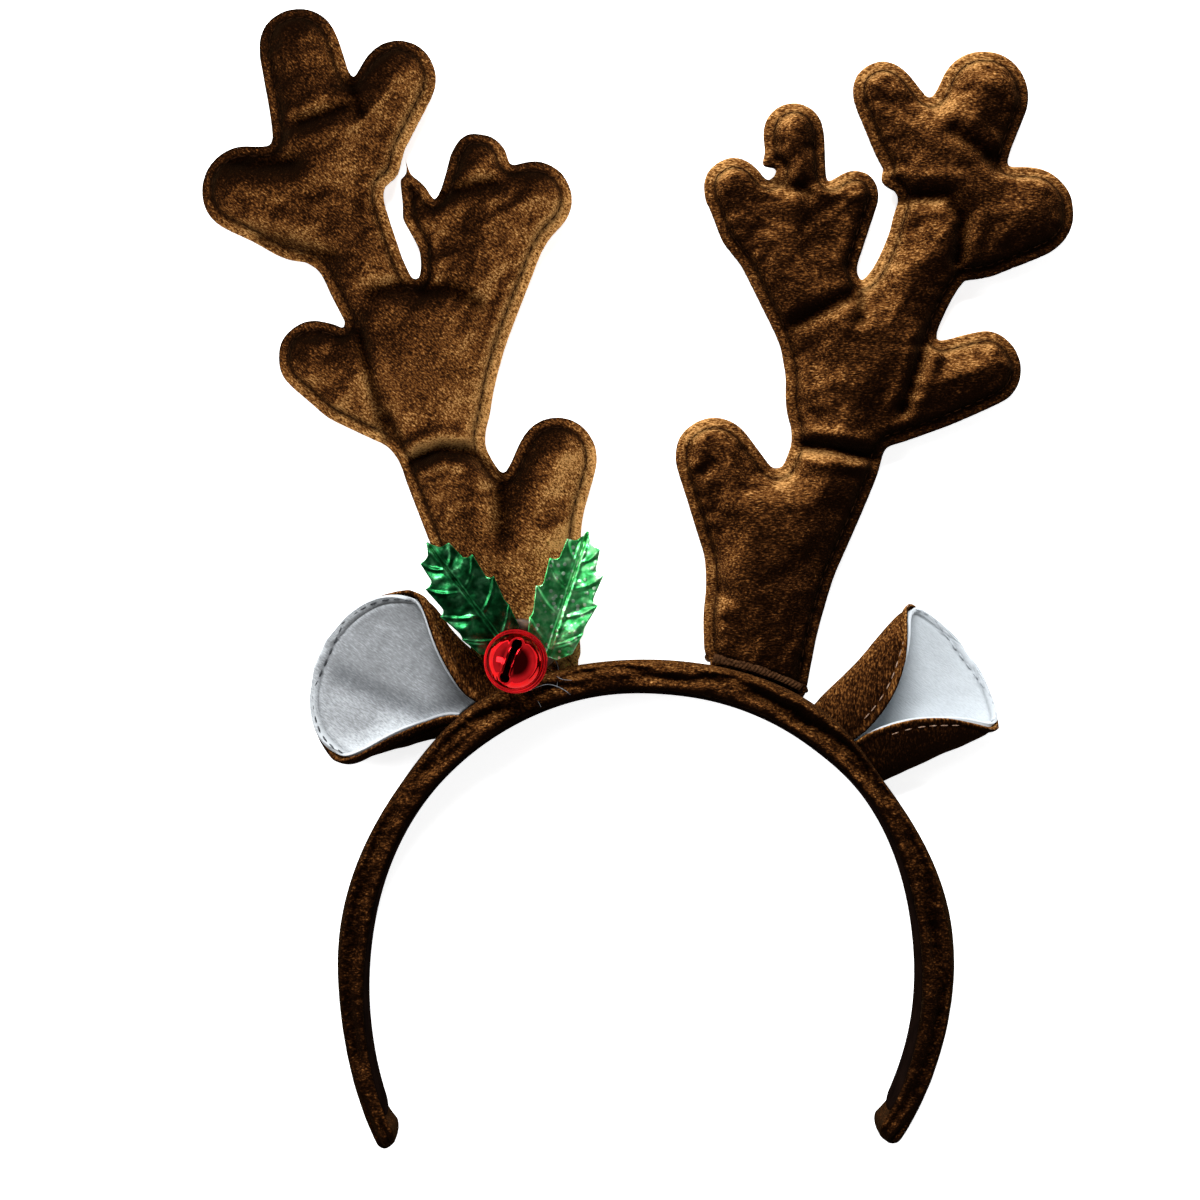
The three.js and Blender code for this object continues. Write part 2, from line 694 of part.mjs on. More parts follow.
// Two stuffed panels sewn together: a grid cut to the outline and along the seam, raised on both sides.
function stuffedPanels(form) {
  const { outline, frontHeight, backHeight, runs } = form;
  const cutOut = (x, y) => Math.max(outline(x, y), -clearOfBand(x, y));
  const seam = (x, y) => outline(x, y) + flangeWidth;
  const box = new THREE.Box2();
  for (const { x, y, r } of runs.flat()) {
    box.expandByPoint(new THREE.Vector2(x - r, y - r));
    box.expandByPoint(new THREE.Vector2(x + r, y + r));
  }
  box.expandByScalar(antlerFacet * 2);
  const rowHeight = (antlerFacet * Math.sqrt(3)) / 2;
  const columns = Math.ceil((box.max.x - box.min.x) / antlerFacet);
  const rows = Math.ceil((box.max.y - box.min.y) / rowHeight);
  const reach = antlerFacet * 0.28; // of a grid point that is moved onto a line
  const points = [];
  for (let j = 0; j <= rows; j += 1) {
    for (let i = 0; i <= columns; i += 1) {
      const point = new THREE.Vector2(
        box.min.x + antlerFacet * (i + (j % 2) / 2), box.min.y + rowHeight * j);
      if (!snapToLine(point, cutOut, reach)) snapToLine(point, seam, reach);
      points.push(point);
    }
  }
  let triangles = [];
  for (let j = 0; j < rows; j += 1) {
    for (let i = 0; i < columns; i += 1) {
      const a = j * (columns + 1) + i;
      const [b, c, d] = [a + 1, a + columns + 1, a + columns + 2];
      triangles.push(...(j % 2 ? [[a, b, d], [a, d, c]] : [[a, b, c], [b, d, c]]));
    }
  }
  for (let pass = 0; pass < 2; pass += 1) triangles = refineAcross(triangles, points, cutOut);
  const cut = splitAlong(triangles, points, cutOut).inside;
  const { inside, outside } = splitAlong(cut, points, seam);
  const flat = [...inside, ...outside].flatMap((polygon) => (
    polygon.slice(1, -1).map((id, i) => [polygon[0], id, polygon[i + 2]])));
  partTouching(flat, points);
  const used = new Map();
  const solid = [];
  const idOf = (id) => {
    if (!used.has(id)) {
      const { x, y } = points[id];
      used.set(id, solid.length);
      solid.push(new THREE.Vector3(x, y, frontHeight(x, y)), new THREE.Vector3(x, y, backHeight(x, y)));
    }
    return used.get(id);
  };
  const skin = [];
  const edges = new Map();
  for (const triangle of flat) {
    const [a, b, c] = triangle.map(idOf);
    skin.push([a, b, c], [a + 1, c + 1, b + 1]);
    for (const [p, q] of [[a, b], [b, c], [c, a]]) {
      if (!edges.delete(`${q}_${p}`)) edges.set(`${p}_${q}`, [p, q]);
    }
  }
  for (const [p, q] of edges.values()) skin.push([p, p + 1, q + 1], [p, q + 1, q]);
  return closedGeometry(solid, skin);
}

// An ear as a folded sheet of points: its back on the table side, both edges turned over the front.
// The foot of each lengthwise line is slid along until it meets the cover.
function earGrid({ length, width, depth, turn, heading, rows }) {
  const foot = bandPoint(turn, outerRadius(turn) + gap, 0);
  const angle = degToRad(heading);
  const ahead = new THREE.Vector3(Math.cos(angle), Math.sin(angle), 0);
  const aside = new THREE.Vector3(-Math.sin(angle), Math.cos(angle), 0);
  const low = earLift + earCloth + gap / 2;
  const place = (row, share) => {
    const round = degToRad(row.wrap) * (2 * share - 1);
    return foot.clone()
      .addScaledVector(ahead, row.along * length)
      .addScaledVector(aside, row.half * width * Math.sin(round))
      .setZ(low + (depth * row.depth * (1 - Math.cos(round))) / 2);
  };
  const slides = steps(12).map((share) => {
    const start = place(rows[0], share);
    let slide = 0;
    for (let i = 0; i < 12; i += 1) {
      slide += earSeat - clearOfBand(start.x + slide * ahead.x, start.y + slide * ahead.y);
    }
    return slide;
  });
  return rows.map((row) => steps(12).map((share, c) => (
    place(row, share).addScaledVector(ahead, slides[c] * (1 - row.along) ** 2))));
}

// Holly leaf as a sheet of points, folded along its midrib, with points that lean forward.
function leafGrid({ foot, length, width, heading }) {
  const angle = degToRad(heading);
  const ahead = new THREE.Vector3(Math.cos(angle), Math.sin(angle), 0);
  const aside = new THREE.Vector3(-Math.sin(angle), Math.cos(angle), 0);
  return leafRows.map((row) => [1, 1 / 2, 0, -1 / 2, -1].map((side) => {
    const half = side > 0 ? row.left : row.right;
    const out = Math.abs(side);
    return foot.clone()
      .addScaledVector(ahead, (row.along + row.lean * out ** 2) * length)
      .addScaledVector(aside, side * half * width)
      .add(new THREE.Vector3(0, 0, row.rise * length + leafFold * half * width * out));
  }));
}

// A flattened drop: an ellipse in plan, between two height functions.
function dropGeometry(centre, radiusX, radiusY, bottom, top) {
  const around = 18;
  const shares = [0.3, 0.55, 0.8, 1];
  const points = [];
  const add = (x, y, share) => points.push(
    new THREE.Vector3(x, y, bottom(x, y)), new THREE.Vector3(x, y, top(x, y, share)));
  add(centre.x, centre.y, 0);
  for (const share of shares) {
    for (let k = 0; k < around; k += 1) {
      const angle = (2 * Math.PI * k) / around;
      add(centre.x + radiusX * share * Math.cos(angle), centre.y + radiusY * share * Math.sin(angle), share);
    }
  }
  const id = (ring, k) => 2 * (1 + (ring - 1) * around + (k % around));
  const triangles = [];
  const both = (a, b, c) => triangles.push([a + 1, b + 1, c + 1], [a, c, b]);
  for (let k = 0; k < around; k += 1) {
    both(0, id(1, k), id(1, k + 1));
    for (let ring = 1; ring < shares.length; ring += 1) {
      both(id(ring, k), id(ring + 1, k), id(ring + 1, k + 1));
      both(id(ring, k), id(ring + 1, k + 1), id(ring, k + 1));
    }
    const a = id(shares.length, k);
    const b = id(shares.length, k + 1);
    triangles.push([a, b, b + 1], [a, b + 1, a + 1]);
  }
  return closedGeometry(points, triangles);
}

const wasm = await Module();
wasm.setup();

// Merges a geometry's doubled vertices and drops the triangles that this flattens.
function welded(geometry) {
  const bare = geometry.clone();
  bare.deleteAttribute('normal');
  bare.deleteAttribute('uv');
  const merged = mergeVertices(bare, 1e-4);
  const index = Array.from(merged.index.array);
  const kept = [];
  for (let i = 0; i < index.length; i += 3) {
    const [a, b, c] = index.slice(i, i + 3);
    if (a !== b && b !== c && c !== a) kept.push(a, b, c);
  }
  merged.setIndex(kept);
  return merged;
}

function toSolid(geometry) {
  const merged = welded(geometry);
  return new wasm.Manifold(new wasm.Mesh({
    numProp: 3,
    vertProperties: new Float32Array(merged.attributes.position.array),
    triVerts: new Uint32Array(merged.index.array),
  }));
}

function fromSolid(solid) {
  const mesh = solid.getMesh();
  const geometry = new THREE.BufferGeometry();
  geometry.setAttribute('position', new THREE.BufferAttribute(mesh.vertProperties, mesh.numProp));
  geometry.setIndex(Array.from(mesh.triVerts));
  geometry.computeVertexNormals();
  return geometry;
}

// One half of the bell: a thin dome with a crimped rim, open at its equator, pole up.
function bellHalf() {
  const radius = bellDiameter / 2;
  const arcs = 5;
  const rim = radius - bellWall;
  const dome = (r, from) => steps(arcs).map((share) => {
    const angle = lerp(degToRad(from), Math.PI / 2, share);
    return new THREE.Vector2(share === 1 ? 0 : r * Math.cos(angle), r * Math.sin(angle));
  });
  const outside = dome(rim, 10);
  const inside = dome(rim - bellWall, 4).reverse();
  const profile = [
    new THREE.Vector2(radius, gap / 2),
    new THREE.Vector2(radius, gap / 2 + bellWall),
    ...outside,
    ...inside,
    new THREE.Vector2(rim - bellWall, gap / 2),
    new THREE.Vector2(radius, gap / 2),
  ];
  return new THREE.LatheGeometry(profile, 20).rotateX(Math.PI / 2);
}

const pieces = new THREE.Group();

function addPiece(name, geometry, colour, roughness, metalness = 0) {
  const material = new THREE.MeshStandardMaterial({ color: colour, roughness, metalness });
  const mesh = new THREE.Mesh(geometry, material);
  mesh.name = name;
  pieces.add(mesh);
  return mesh;
}

const velvet = 0x4a2c10;

addPiece('band_strip', stripGeometry(), 0x0c0a0a, 0.25);
addPiece('band_cover', coverGeometry(), velvet, 0.9);

const leftAntler = antlerForm({
  width: leftAntlerWidth,
  height: leftAntlerHeight,
  turn: leftAntlerTurn,
  limbs: leftAntlerLimbs,
  creases: leftAntlerCreases,
});
const rightAntler = antlerForm({
  width: rightAntlerWidth,
  height: rightAntlerHeight,
  turn: rightAntlerTurn,
  limbs: rightAntlerLimbs,
  creases: rightAntlerCreases,
});
addPiece('antler_left', stuffedPanels(leftAntler), velvet, 0.9);
addPiece('antler_right', stuffedPanels(rightAntler), velvet, 0.9);

const leftEar = earGrid({
  length: leftEarLength,
  width: leftEarWidth,
  depth: leftEarDepth,
  turn: leftEarTurn,
  heading: leftEarHeading,
  rows: leftEarRows,
});
const rightEar = earGrid({
  length: rightEarLength,
  width: rightEarWidth,
  depth: rightEarDepth,
  turn: rightEarTurn,
  heading: rightEarHeading,
  rows: rightEarRows,
});
const layerShift = (earCloth + gap) / 2;
const lining = 0xf2f0ec;
addPiece('ear_left_outer', thickSheet(leftEar, earCloth, -layerShift), velvet, 0.9);
addPiece('ear_left_lining', thickSheet(leftEar, earCloth, layerShift), lining, 0.85);
addPiece('ear_right_outer', thickSheet(rightEar, earCloth, -layerShift), velvet, 0.9);
addPiece('ear_right_lining', thickSheet(rightEar, earCloth, layerShift), lining, 0.85);

// Tape over the seam between the right antler and the cover
const braid = steps(14).map((share) => {
  const turn = lerp(braidFromTurn, braidToTurn, share);
  return [-1, 0, 1].map((side) => {
    const radius = outerRadius(turn) + gap + braidFromCover + (braidWidth * (1 + side)) / 2;
    const point = bandPoint(turn, radius, 0);
    const arch = side === 0 ? braidThickness / 4 : 0;
    return point.setZ(rightAntler.frontHeight(point.x, point.y) + braidLift + braidThickness / 2 + arch);
  });
});
addPiece('join_braid', thickSheet(braid, braidThickness), 0x6b4e33, 0.8);

// Trim on the foot of the left antler: glue on the velvet, leaves on the glue, bell in front
const antlerFront = antlerMiddle + flangeThickness / 2 + stuffingHeight;
const leafZ = antlerFront + glueLift + glueThickness + gap + leafThickness / 2;
const bellRadius = bellDiameter / 2;
const bellCentre = new THREE.Vector3(
  leftAntler.foot.x + bellAside, leftAntler.foot.y + bellUp, leafZ + leafThickness / 2 + gap + bellRadius);
const leftLeafFoot = new THREE.Vector3(bellCentre.x + leftLeafAside, bellCentre.y + leftLeafUp, leafZ);
const rightLeafFoot = new THREE.Vector3(bellCentre.x + rightLeafAside, bellCentre.y + rightLeafUp, leafZ);
const glueRises = [
  { at: leftLeafFoot, top: leafZ - leafThickness / 2 - gap },
  { at: rightLeafFoot, top: leafZ - leafThickness / 2 - gap },
  { at: bellCentre, top: bellCentre.z - bellRadius - gap },
];
const glueCentre = bellCentre.clone().add(new THREE.Vector3(glueAside, glueUp, 0));
const glueBottom = (x, y) => leftAntler.frontHeight(x, y) + glueLift;
const glueTop = (x, y, share) => {
  const skin = glueBottom(x, y) + glueThickness * (1 - glueThinning * share ** 2);
  return glueRises.reduce((z, { at, top }) => (
    lerp(z, top, Math.exp(-((Math.hypot(x - at.x, y - at.y) / glueStalk) ** 4)))), skin);
};
const glue = dropGeometry(glueCentre, glueLength / 2, glueWidth / 2, glueBottom, glueTop);
addPiece('glue_dab', glue, 0xd8d4c8, 0.3);

const leftLeaf = leafGrid({
  foot: leftLeafFoot,
  length: leftLeafLength,
  width: leftLeafWidth,
  heading: leftLeafHeading,
});
const rightLeaf = leafGrid({
  foot: rightLeafFoot,
  length: rightLeafLength,
  width: rightLeafWidth,
  heading: rightLeafHeading,
});
addPiece('holly_leaf_left', thickSheet(leftLeaf, leafThickness), 0x1d7a45, 0.25, 0.8);
addPiece('holly_leaf_right', thickSheet(rightLeaf, leafThickness), 0x2fb36a, 0.25, 0.8);

const bellRed = 0xd0131c;
const bellHoleRadius = bellHoleDiameter / 2;
const slotParts = [
  new THREE.BoxGeometry(bellSlotLength, bellSlotWidth, bellDiameter),
  ...[-1, 1].map((end) => new THREE.CylinderGeometry(bellHoleRadius, bellHoleRadius, bellDiameter, 10)
    .rotateX(Math.PI / 2)
    .translate((end * bellSlotLength) / 2, 0, 0)),
];
let bellFront = toSolid(bellHalf());
for (const slotPart of slotParts) {
  const tool = slotPart.translate(0, 0, bellRadius + gap).rotateZ(degToRad(bellTilt));
  bellFront = bellFront.subtract(toSolid(tool));
}
addPiece('bell_front', fromSolid(bellFront), bellRed, 0.12, 1).position.copy(bellCentre);
const bellBack = addPiece('bell_back', welded(bellHalf()), bellRed, 0.12, 1);
bellBack.position.copy(bellCentre);
bellBack.rotation.x = Math.PI;
const pelletRest = bellRadius - 2 * bellWall - gap - pelletDiameter / 2;
const pelletBall = welded(new THREE.SphereGeometry(pelletDiameter / 2, 10, 8));
const pellet = addPiece('bell_pellet', pelletBall, 0x8c8c8c, 0.3, 1);
pellet.position.copy(bellCentre).add(new THREE.Vector3(0, 0, -pelletRest));

// Origin under the middle of the whole, on the table
const whole = new THREE.Box3().setFromObject(pieces);
const centre = whole.getCenter(new THREE.Vector3());
pieces.position.set(-centre.x, -centre.y, -whole.min.z);

export default pieces;
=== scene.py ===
import math

import bmesh
import bpy
from mathutils import Matrix, Vector, kdtree, noise
from mathutils.bvhtree import BVHTree


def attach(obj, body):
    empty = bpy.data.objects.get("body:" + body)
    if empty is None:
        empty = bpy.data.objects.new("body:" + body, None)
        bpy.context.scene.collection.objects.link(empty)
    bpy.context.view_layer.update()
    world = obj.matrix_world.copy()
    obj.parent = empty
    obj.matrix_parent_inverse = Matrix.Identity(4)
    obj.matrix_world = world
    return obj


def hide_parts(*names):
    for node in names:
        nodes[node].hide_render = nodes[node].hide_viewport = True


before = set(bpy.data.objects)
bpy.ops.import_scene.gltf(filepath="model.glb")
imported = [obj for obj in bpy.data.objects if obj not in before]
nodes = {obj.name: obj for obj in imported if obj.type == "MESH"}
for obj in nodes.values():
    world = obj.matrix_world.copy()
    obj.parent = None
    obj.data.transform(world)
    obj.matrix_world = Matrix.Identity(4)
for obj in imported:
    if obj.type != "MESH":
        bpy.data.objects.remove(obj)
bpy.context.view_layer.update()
MM = 0.001


# Camera and room. The headband lies on its back on a white table and is seen from straight above,
# with a soft light from beyond the antlers and a weaker fill from the other side.
VIEW_DISTANCE = 600 * MM
VIEW_WIDTH = 288 * MM
VIEW_MIDDLE = (-9.0 * MM, -5.7 * MM)
SENSOR_WIDTH = 36.0


def hex_colour(text):
    """Turns an sRGB hex value into linear red, green and blue, with an alpha of 1."""
    parts = [int(text[i:i + 2], 16) / 255 for i in (1, 3, 5)]
    linear = [c / 12.92 if c <= 0.04045 else ((c + 0.055) / 1.055) ** 2.4 for c in parts]
    return (*linear, 1.0)


def new_material(name):
    """Starts a node material, and gives back its tree and its Principled shader too."""
    material = bpy.data.materials.new(name)
    material.use_nodes = True
    tree = material.node_tree
    return material, tree, tree.nodes["Principled BSDF"]


def add_node(tree, kind, settings=None, **inputs):
    """Adds a node with its settings, and sets or links its inputs by name."""
    node = tree.nodes.new(kind)
    for key, value in (settings or {}).items():
        setattr(node, key, value)
    for key, value in inputs.items():
        socket = node.inputs[int(key[1:])] if key[0] == "_" else node.inputs[key.replace("_", " ")]
        if isinstance(value, bpy.types.NodeSocket):
            tree.links.new(value, socket)
        else:
            socket.default_value = value
    return node


def set_ramp(node, stops):
    """Fills a colour ramp from (place, hex colour) pairs."""
    ramp = node.color_ramp
    while len(ramp.elements) < len(stops):
        ramp.elements.new(1.0)
    for element, (place, colour) in zip(ramp.elements, stops):
        element.position = place
        element.color = hex_colour(colour)


def set_sockets(shader, **values):
    """Sets values on a shader's own sockets, by name."""
    for key, value in values.items():
        shader.inputs[key.replace("_", " ")].default_value = value


def area_light(name, place, target, size, watts, colour="#ffffff"):
    data = bpy.data.lights.new(name, "AREA")
    data.shape = "RECTANGLE"
    data.size, data.size_y = size
    data.energy = watts
    data.color = hex_colour(colour)[:3]
    lamp = bpy.data.objects.new(name, data)
    lamp.location = place
    lamp.rotation_euler = (Vector(target) - Vector(place)).to_track_quat("-Z", "Y").to_euler()
    bpy.context.scene.collection.objects.link(lamp)


camera_data = bpy.data.cameras.new("camera")
camera_data.sensor_width = SENSOR_WIDTH
camera_data.lens = SENSOR_WIDTH * VIEW_DISTANCE / VIEW_WIDTH
camera = bpy.data.objects.new("camera", camera_data)
camera.location = (*VIEW_MIDDLE, VIEW_DISTANCE + 6 * MM)
bpy.context.scene.collection.objects.link(camera)
bpy.context.scene.camera = camera

bpy.ops.mesh.primitive_plane_add(size=6)
table = bpy.context.active_object
table.name = "table"
table_paint, tree, shader = new_material("white_table")
set_sockets(shader, Base_Color=hex_colour("#fbfbfb"), Roughness=0.9, Emission_Color=hex_colour("#ffffff"),
            Emission_Strength=0.8)
table.data.materials.append(table_paint)

world = bpy.data.worlds.new("room")
bpy.context.scene.world = world
world.use_nodes = True
sky = world.node_tree
way = add_node(sky, "ShaderNodeTexCoord").outputs["Generated"]
up = add_node(sky, "ShaderNodeSeparateXYZ", Vector=way).outputs["Z"]
dome = add_node(sky, "ShaderNodeValToRGB", Fac=up)
set_ramp(dome, [(0.35, "#ffffff"), (0.72, "#3a3a3a")])
sky.links.new(dome.outputs["Color"], sky.nodes["Background"].inputs["Color"])
sky.nodes["Background"].inputs["Strength"].default_value = 1.0
area_light("key", (-0.12, 0.80, 0.95), (0, 0, 0), (0.8, 0.30), 24)
area_light("side", (-0.95, 0.1, 0.7), (0, 0, 0), (0.3, 0.8), 5.0)
bpy.context.scene.view_settings.view_transform = "Standard"


# Band. A sprung strip of black polypropylene lies in a padded velvet sleeve. The sleeve is sewn tight
# on the inside of the curve, so that its front falls in long folds and gathers, and it is turned in
# and closed at both ends. The strip shows as a thin dark rim along the inside.
# The velvet's tones from dark to pale; which one shows is partly painted shade and painted light, from how
# each slope faces
VELVET = ("#0d0502", "#2b1608", "#6b421e", "#cf9a5a")
HEAD_HALF = 65.5 * MM
STRIP_THICKNESS = 1.6 * MM
STRIP_WIDTH = 13 * MM
STRIP_END = 127
COVER_WIDTH = 15 * MM
COVER_PADDING = 8 * MM
COVER_END = 131.5
# Degrees from the crown where the sleeve starts to close round the strip, and how far that takes
TUCK_FROM, TUCK_RUN = 119, 10
COVER_END_ROUND = 3.4 * MM
GAP = 0.3 * MM
INNER = [(-132, 1.176), (-110, 1.056), (-90, 0.977), (-60, 0.906), (-35, 0.866), (-10, 0.850),
         (10, 0.850), (42, 0.893), (60, 0.938), (90, 0.994), (115, 1.074), (132, 1.132)]
PADDING = [(-132, 0.42), (-110, 0.54), (-90, 0.73), (-60, 0.68), (-35, 0.94), (-10, 0.76),
           (10, 0.79), (42, 0.88), (60, 0.52), (90, 0.88), (115, 0.68), (132, 0.56)]
# From and to in degrees from the crown, place across the front from the strip (0) to the outer edge
# (1) at each end, depth and spread in millimetres
FOLDS = [
    (20, 66, 0.42, 0.60, 2.6, 1.2), (30, 60, 0.20, 0.34, 1.2, 0.8), (64, 126, 0.55, 0.40, 1.5, 1.0),
    (70, 100, 0.20, 0.32, 1.0, 0.7), (96, 124, 0.72, 0.55, 0.9, 0.7), (-120, -62, 0.46, 0.55, 1.6, 1.0),
    (-100, -66, 0.24, 0.20, 0.9, 0.7), (-60, -28, 0.62, 0.50, 1.4, 1.0), (-56, -34, 0.30, 0.36, 1.0, 0.7),
    (-28, -10, 0.50, 0.30, 1.2, 0.8), (-22, 6, 0.72, 0.66, 1.0, 0.7), (-6, 22, 0.38, 0.46, 1.3, 0.8),
    (8, 26, 0.70, 0.60, 0.9, 0.7),
]


def add_up(tree, start, *terms):
    """A starting value, or a pattern, plus shares of other patterns."""
    value = start
    for pattern, share in terms:
        value = add_node(tree, "ShaderNodeMath", {"operation": "MULTIPLY_ADD"}, _0=pattern, _1=share,
                         _2=value).outputs[0]
    return value


def darken(tree, colour, tint):
    """Paints shade: multiplies a colour by a dark tint as far as the piece's own attribute "shade" says."""
    shade = add_node(tree, "ShaderNodeAttribute", {"attribute_name": "shade"}).outputs["Fac"]
    return add_node(tree, "ShaderNodeMix", {"data_type": "RGBA", "blend_type": "MULTIPLY"}, _0=shade,
                    _6=colour, _7=hex_colour(tint)).outputs[2]


def finish_shader(tree, shader, colour, relief=None, **values):
    """Links a colour and a relief (height, strength, depth) to the shader, and sets the other values."""
    tree.links.new(colour, shader.inputs["Base Color"])
    if relief:
        bump = add_node(tree, "ShaderNodeBump", Height=relief[0], Strength=relief[1], Distance=relief[2])
        tree.links.new(bump.outputs["Normal"], shader.inputs["Normal"])
    set_sockets(shader, **values)


def mottled(name, scale, detail, stops, relief=None, **values):
    """A material whose colour wavers with one noise of 1 / scale metres, with a relief of the same noise
    (strength, depth) if one is given."""
    material, tree, shader = new_material(name)
    place = add_node(tree, "ShaderNodeTexCoord").outputs["Object"]
    pattern = add_node(tree, "ShaderNodeTexNoise", Vector=place, Scale=scale, Detail=detail).outputs["Fac"]
    ramp = add_node(tree, "ShaderNodeValToRGB", Fac=pattern)
    set_ramp(ramp, stops)
    finish_shader(tree, shader, ramp.outputs["Color"], relief and (pattern, *relief), **values)
    return material


def velvet(name, nap_and_light, rows, row_length, row_pitch, tone, drift=(0, 0, 0), contrast=0.75):
    """Crushed velvet in broken rows of a millimetre or less, with no gloss, and painted light and shade:
    slopes that face nap_and_light are painted pale and slopes turned from it dark, which stands partly
    for the lean of the pile and partly for how the light falls, and drift lightens the tone towards one
    side. The pile itself is 0.02 mm and is drawn coarser. The attribute "hem" lifts the tone where the
    cloth lies flat and "shade" paints shade into seams and folds."""
    material, tree, shader = new_material(name)
    place = add_node(tree, "ShaderNodeTexCoord").outputs["Object"]
    turned = add_node(tree, "ShaderNodeMapping", Vector=place, Rotation=(0, 0, math.radians(rows)))
    along = add_node(tree, "ShaderNodeMapping", Vector=turned.outputs["Vector"],
                     Scale=(1000 / row_length, 1000 / row_pitch, 1000 / row_pitch)).outputs["Vector"]
    dashes = add_node(tree, "ShaderNodeTexNoise", Vector=along, Scale=1.0, Detail=3.0,
                      Roughness=0.65).outputs["Fac"]
    patches = add_node(tree, "ShaderNodeTexNoise", Vector=place, Scale=95.0, Detail=2.0,
                       Roughness=0.5).outputs["Fac"]
    grain = add_node(tree, "ShaderNodeTexNoise", Vector=place, Scale=1700.0, Detail=1.0).outputs["Fac"]
    seen = add_node(tree, "ShaderNodeNewGeometry").outputs["Normal"]
    # Painted light and shade: the colour follows how each slope faces nap_and_light, and drift lightens one
    # side
    facing, across = (add_node(tree, "ShaderNodeVectorMath", {"operation": "DOT_PRODUCT"}, _0=a,
                               _1=b).outputs["Value"] for a, b in ((seen, nap_and_light), (place, drift)))
    hem = add_node(tree, "ShaderNodeAttribute", {"attribute_name": "hem"}).outputs["Fac"]
    speckles = ((dashes, 1.7), (patches, 0.35), (grain, 0.45))
    middle = tone - sum(share for _, share in speckles) / 2
    value = add_up(tree, middle, (facing, contrast), (across, 1.0), (hem, 0.14), *speckles)
    ramp = add_node(tree, "ShaderNodeValToRGB", Fac=value)
    set_ramp(ramp, list(zip((0.10, 0.38, 0.66, 1.0), VELVET)))
    finish_shader(tree, shader, darken(tree, ramp.outputs["Color"], "#2c1c12"),
                  (add_up(tree, dashes, (grain, 0.4)), 0.8, 0.5 * MM), Roughness=0.9, Specular_IOR_Level=0.0,
                  Sheen_Weight=0.04, Sheen_Roughness=0.35, Sheen_Tint=hex_colour("#c79a6a"))
    return material


def start_piece(name, form):
    """Ends a bmesh as an object at the origin."""
    mesh = bpy.data.meshes.new(name)
    form.to_mesh(mesh)
    form.free()
    piece = bpy.data.objects.new(name, mesh)
    bpy.context.scene.collection.objects.link(piece)
    return piece


def finish_piece(piece, slot, material, *replaced):
    """Smooth shading, material, the CAD nodes that it stands for, and the body that it rides on. The slot is
    not used.
    """
    piece.data.polygons.foreach_set("use_smooth", [True] * len(piece.data.polygons))
    piece.data.materials.clear()
    piece.data.materials.append(material)
    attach(piece, "root")
    if replaced:
        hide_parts(*replaced)


def tree_of(piece):
    """A search tree of a piece's surface."""
    form = bmesh.new()
    form.from_mesh(piece.data)
    tree = BVHTree.FromBMesh(form)
    form.free()
    return tree


def read_table(rows, place):
    """Reads a table at a place between its rows, on a smooth curve through them."""
    last = len(rows) - 1
    i = 0
    while i < last - 1 and place > rows[i + 1][0]:
        i += 1
    before, start, end, after = (rows[max(i - 1, 0)], rows[i], rows[i + 1], rows[min(i + 2, last)])
    span = end[0] - start[0]
    t = min(max((place - start[0]) / span, 0), 1)
    slope_in = span * (end[1] - before[1]) / (end[0] - before[0])
    slope_out = span * (after[1] - start[1]) / (after[0] - start[0])
    rise = end[1] - start[1]
    bend = slope_in + slope_out - 2 * rise
    return start[1] + t * (slope_in + t * (rise - slope_in - bend * (1 - t)))


BAND_MIDDLE = Vector((0.794 * MM, -27.919 * MM - HEAD_HALF * read_table(INNER, 0), 0))


def inner_radius(turn):
    return HEAD_HALF * read_table(INNER, turn)


def outer_radius(turn):
    return inner_radius(turn) + STRIP_THICKNESS + GAP + COVER_PADDING * read_table(PADDING, turn)


def band_point(turn, radius, z):
    angle = math.radians(turn)
    return BAND_MIDDLE + Vector((radius * math.sin(angle), radius * math.cos(angle), z))


def tube_form(turns, around, place):
    """A closed tube along the band: a grid whose rows run round it, joined where they meet."""
    form = bmesh.new()
    bmesh.ops.create_grid(form, x_segments=turns, y_segments=around, size=1)
    for vert in form.verts:
        vert.co = place((vert.co.x + 1) / 2, (vert.co.y + 1) / 2)
    bmesh.ops.remove_doubles(form, verts=form.verts[:], dist=0.002 * MM)
    bmesh.ops.recalc_face_normals(form, faces=form.faces[:])
    return form


def strip_place(share, around):
    turn = STRIP_END * (2 * share - 1)
    angle = 2 * math.pi * around
    c, s = math.cos(angle), math.sin(angle)
    end = min(1.0, min(share, 1 - share) * 2 * STRIP_END / 3.0)
    close = math.sqrt(max(1 - (1 - end) ** 2, 0))
    out = (STRIP_THICKNESS + GAP) / 2 * (1 + 0.98 * math.copysign(abs(c) ** 0.35, c) * close)
    half = STRIP_WIDTH / 2 * math.copysign(abs(s) ** 0.22, s) * close
    return band_point(turn, inner_radius(turn) + out, COVER_WIDTH / 2 + half)


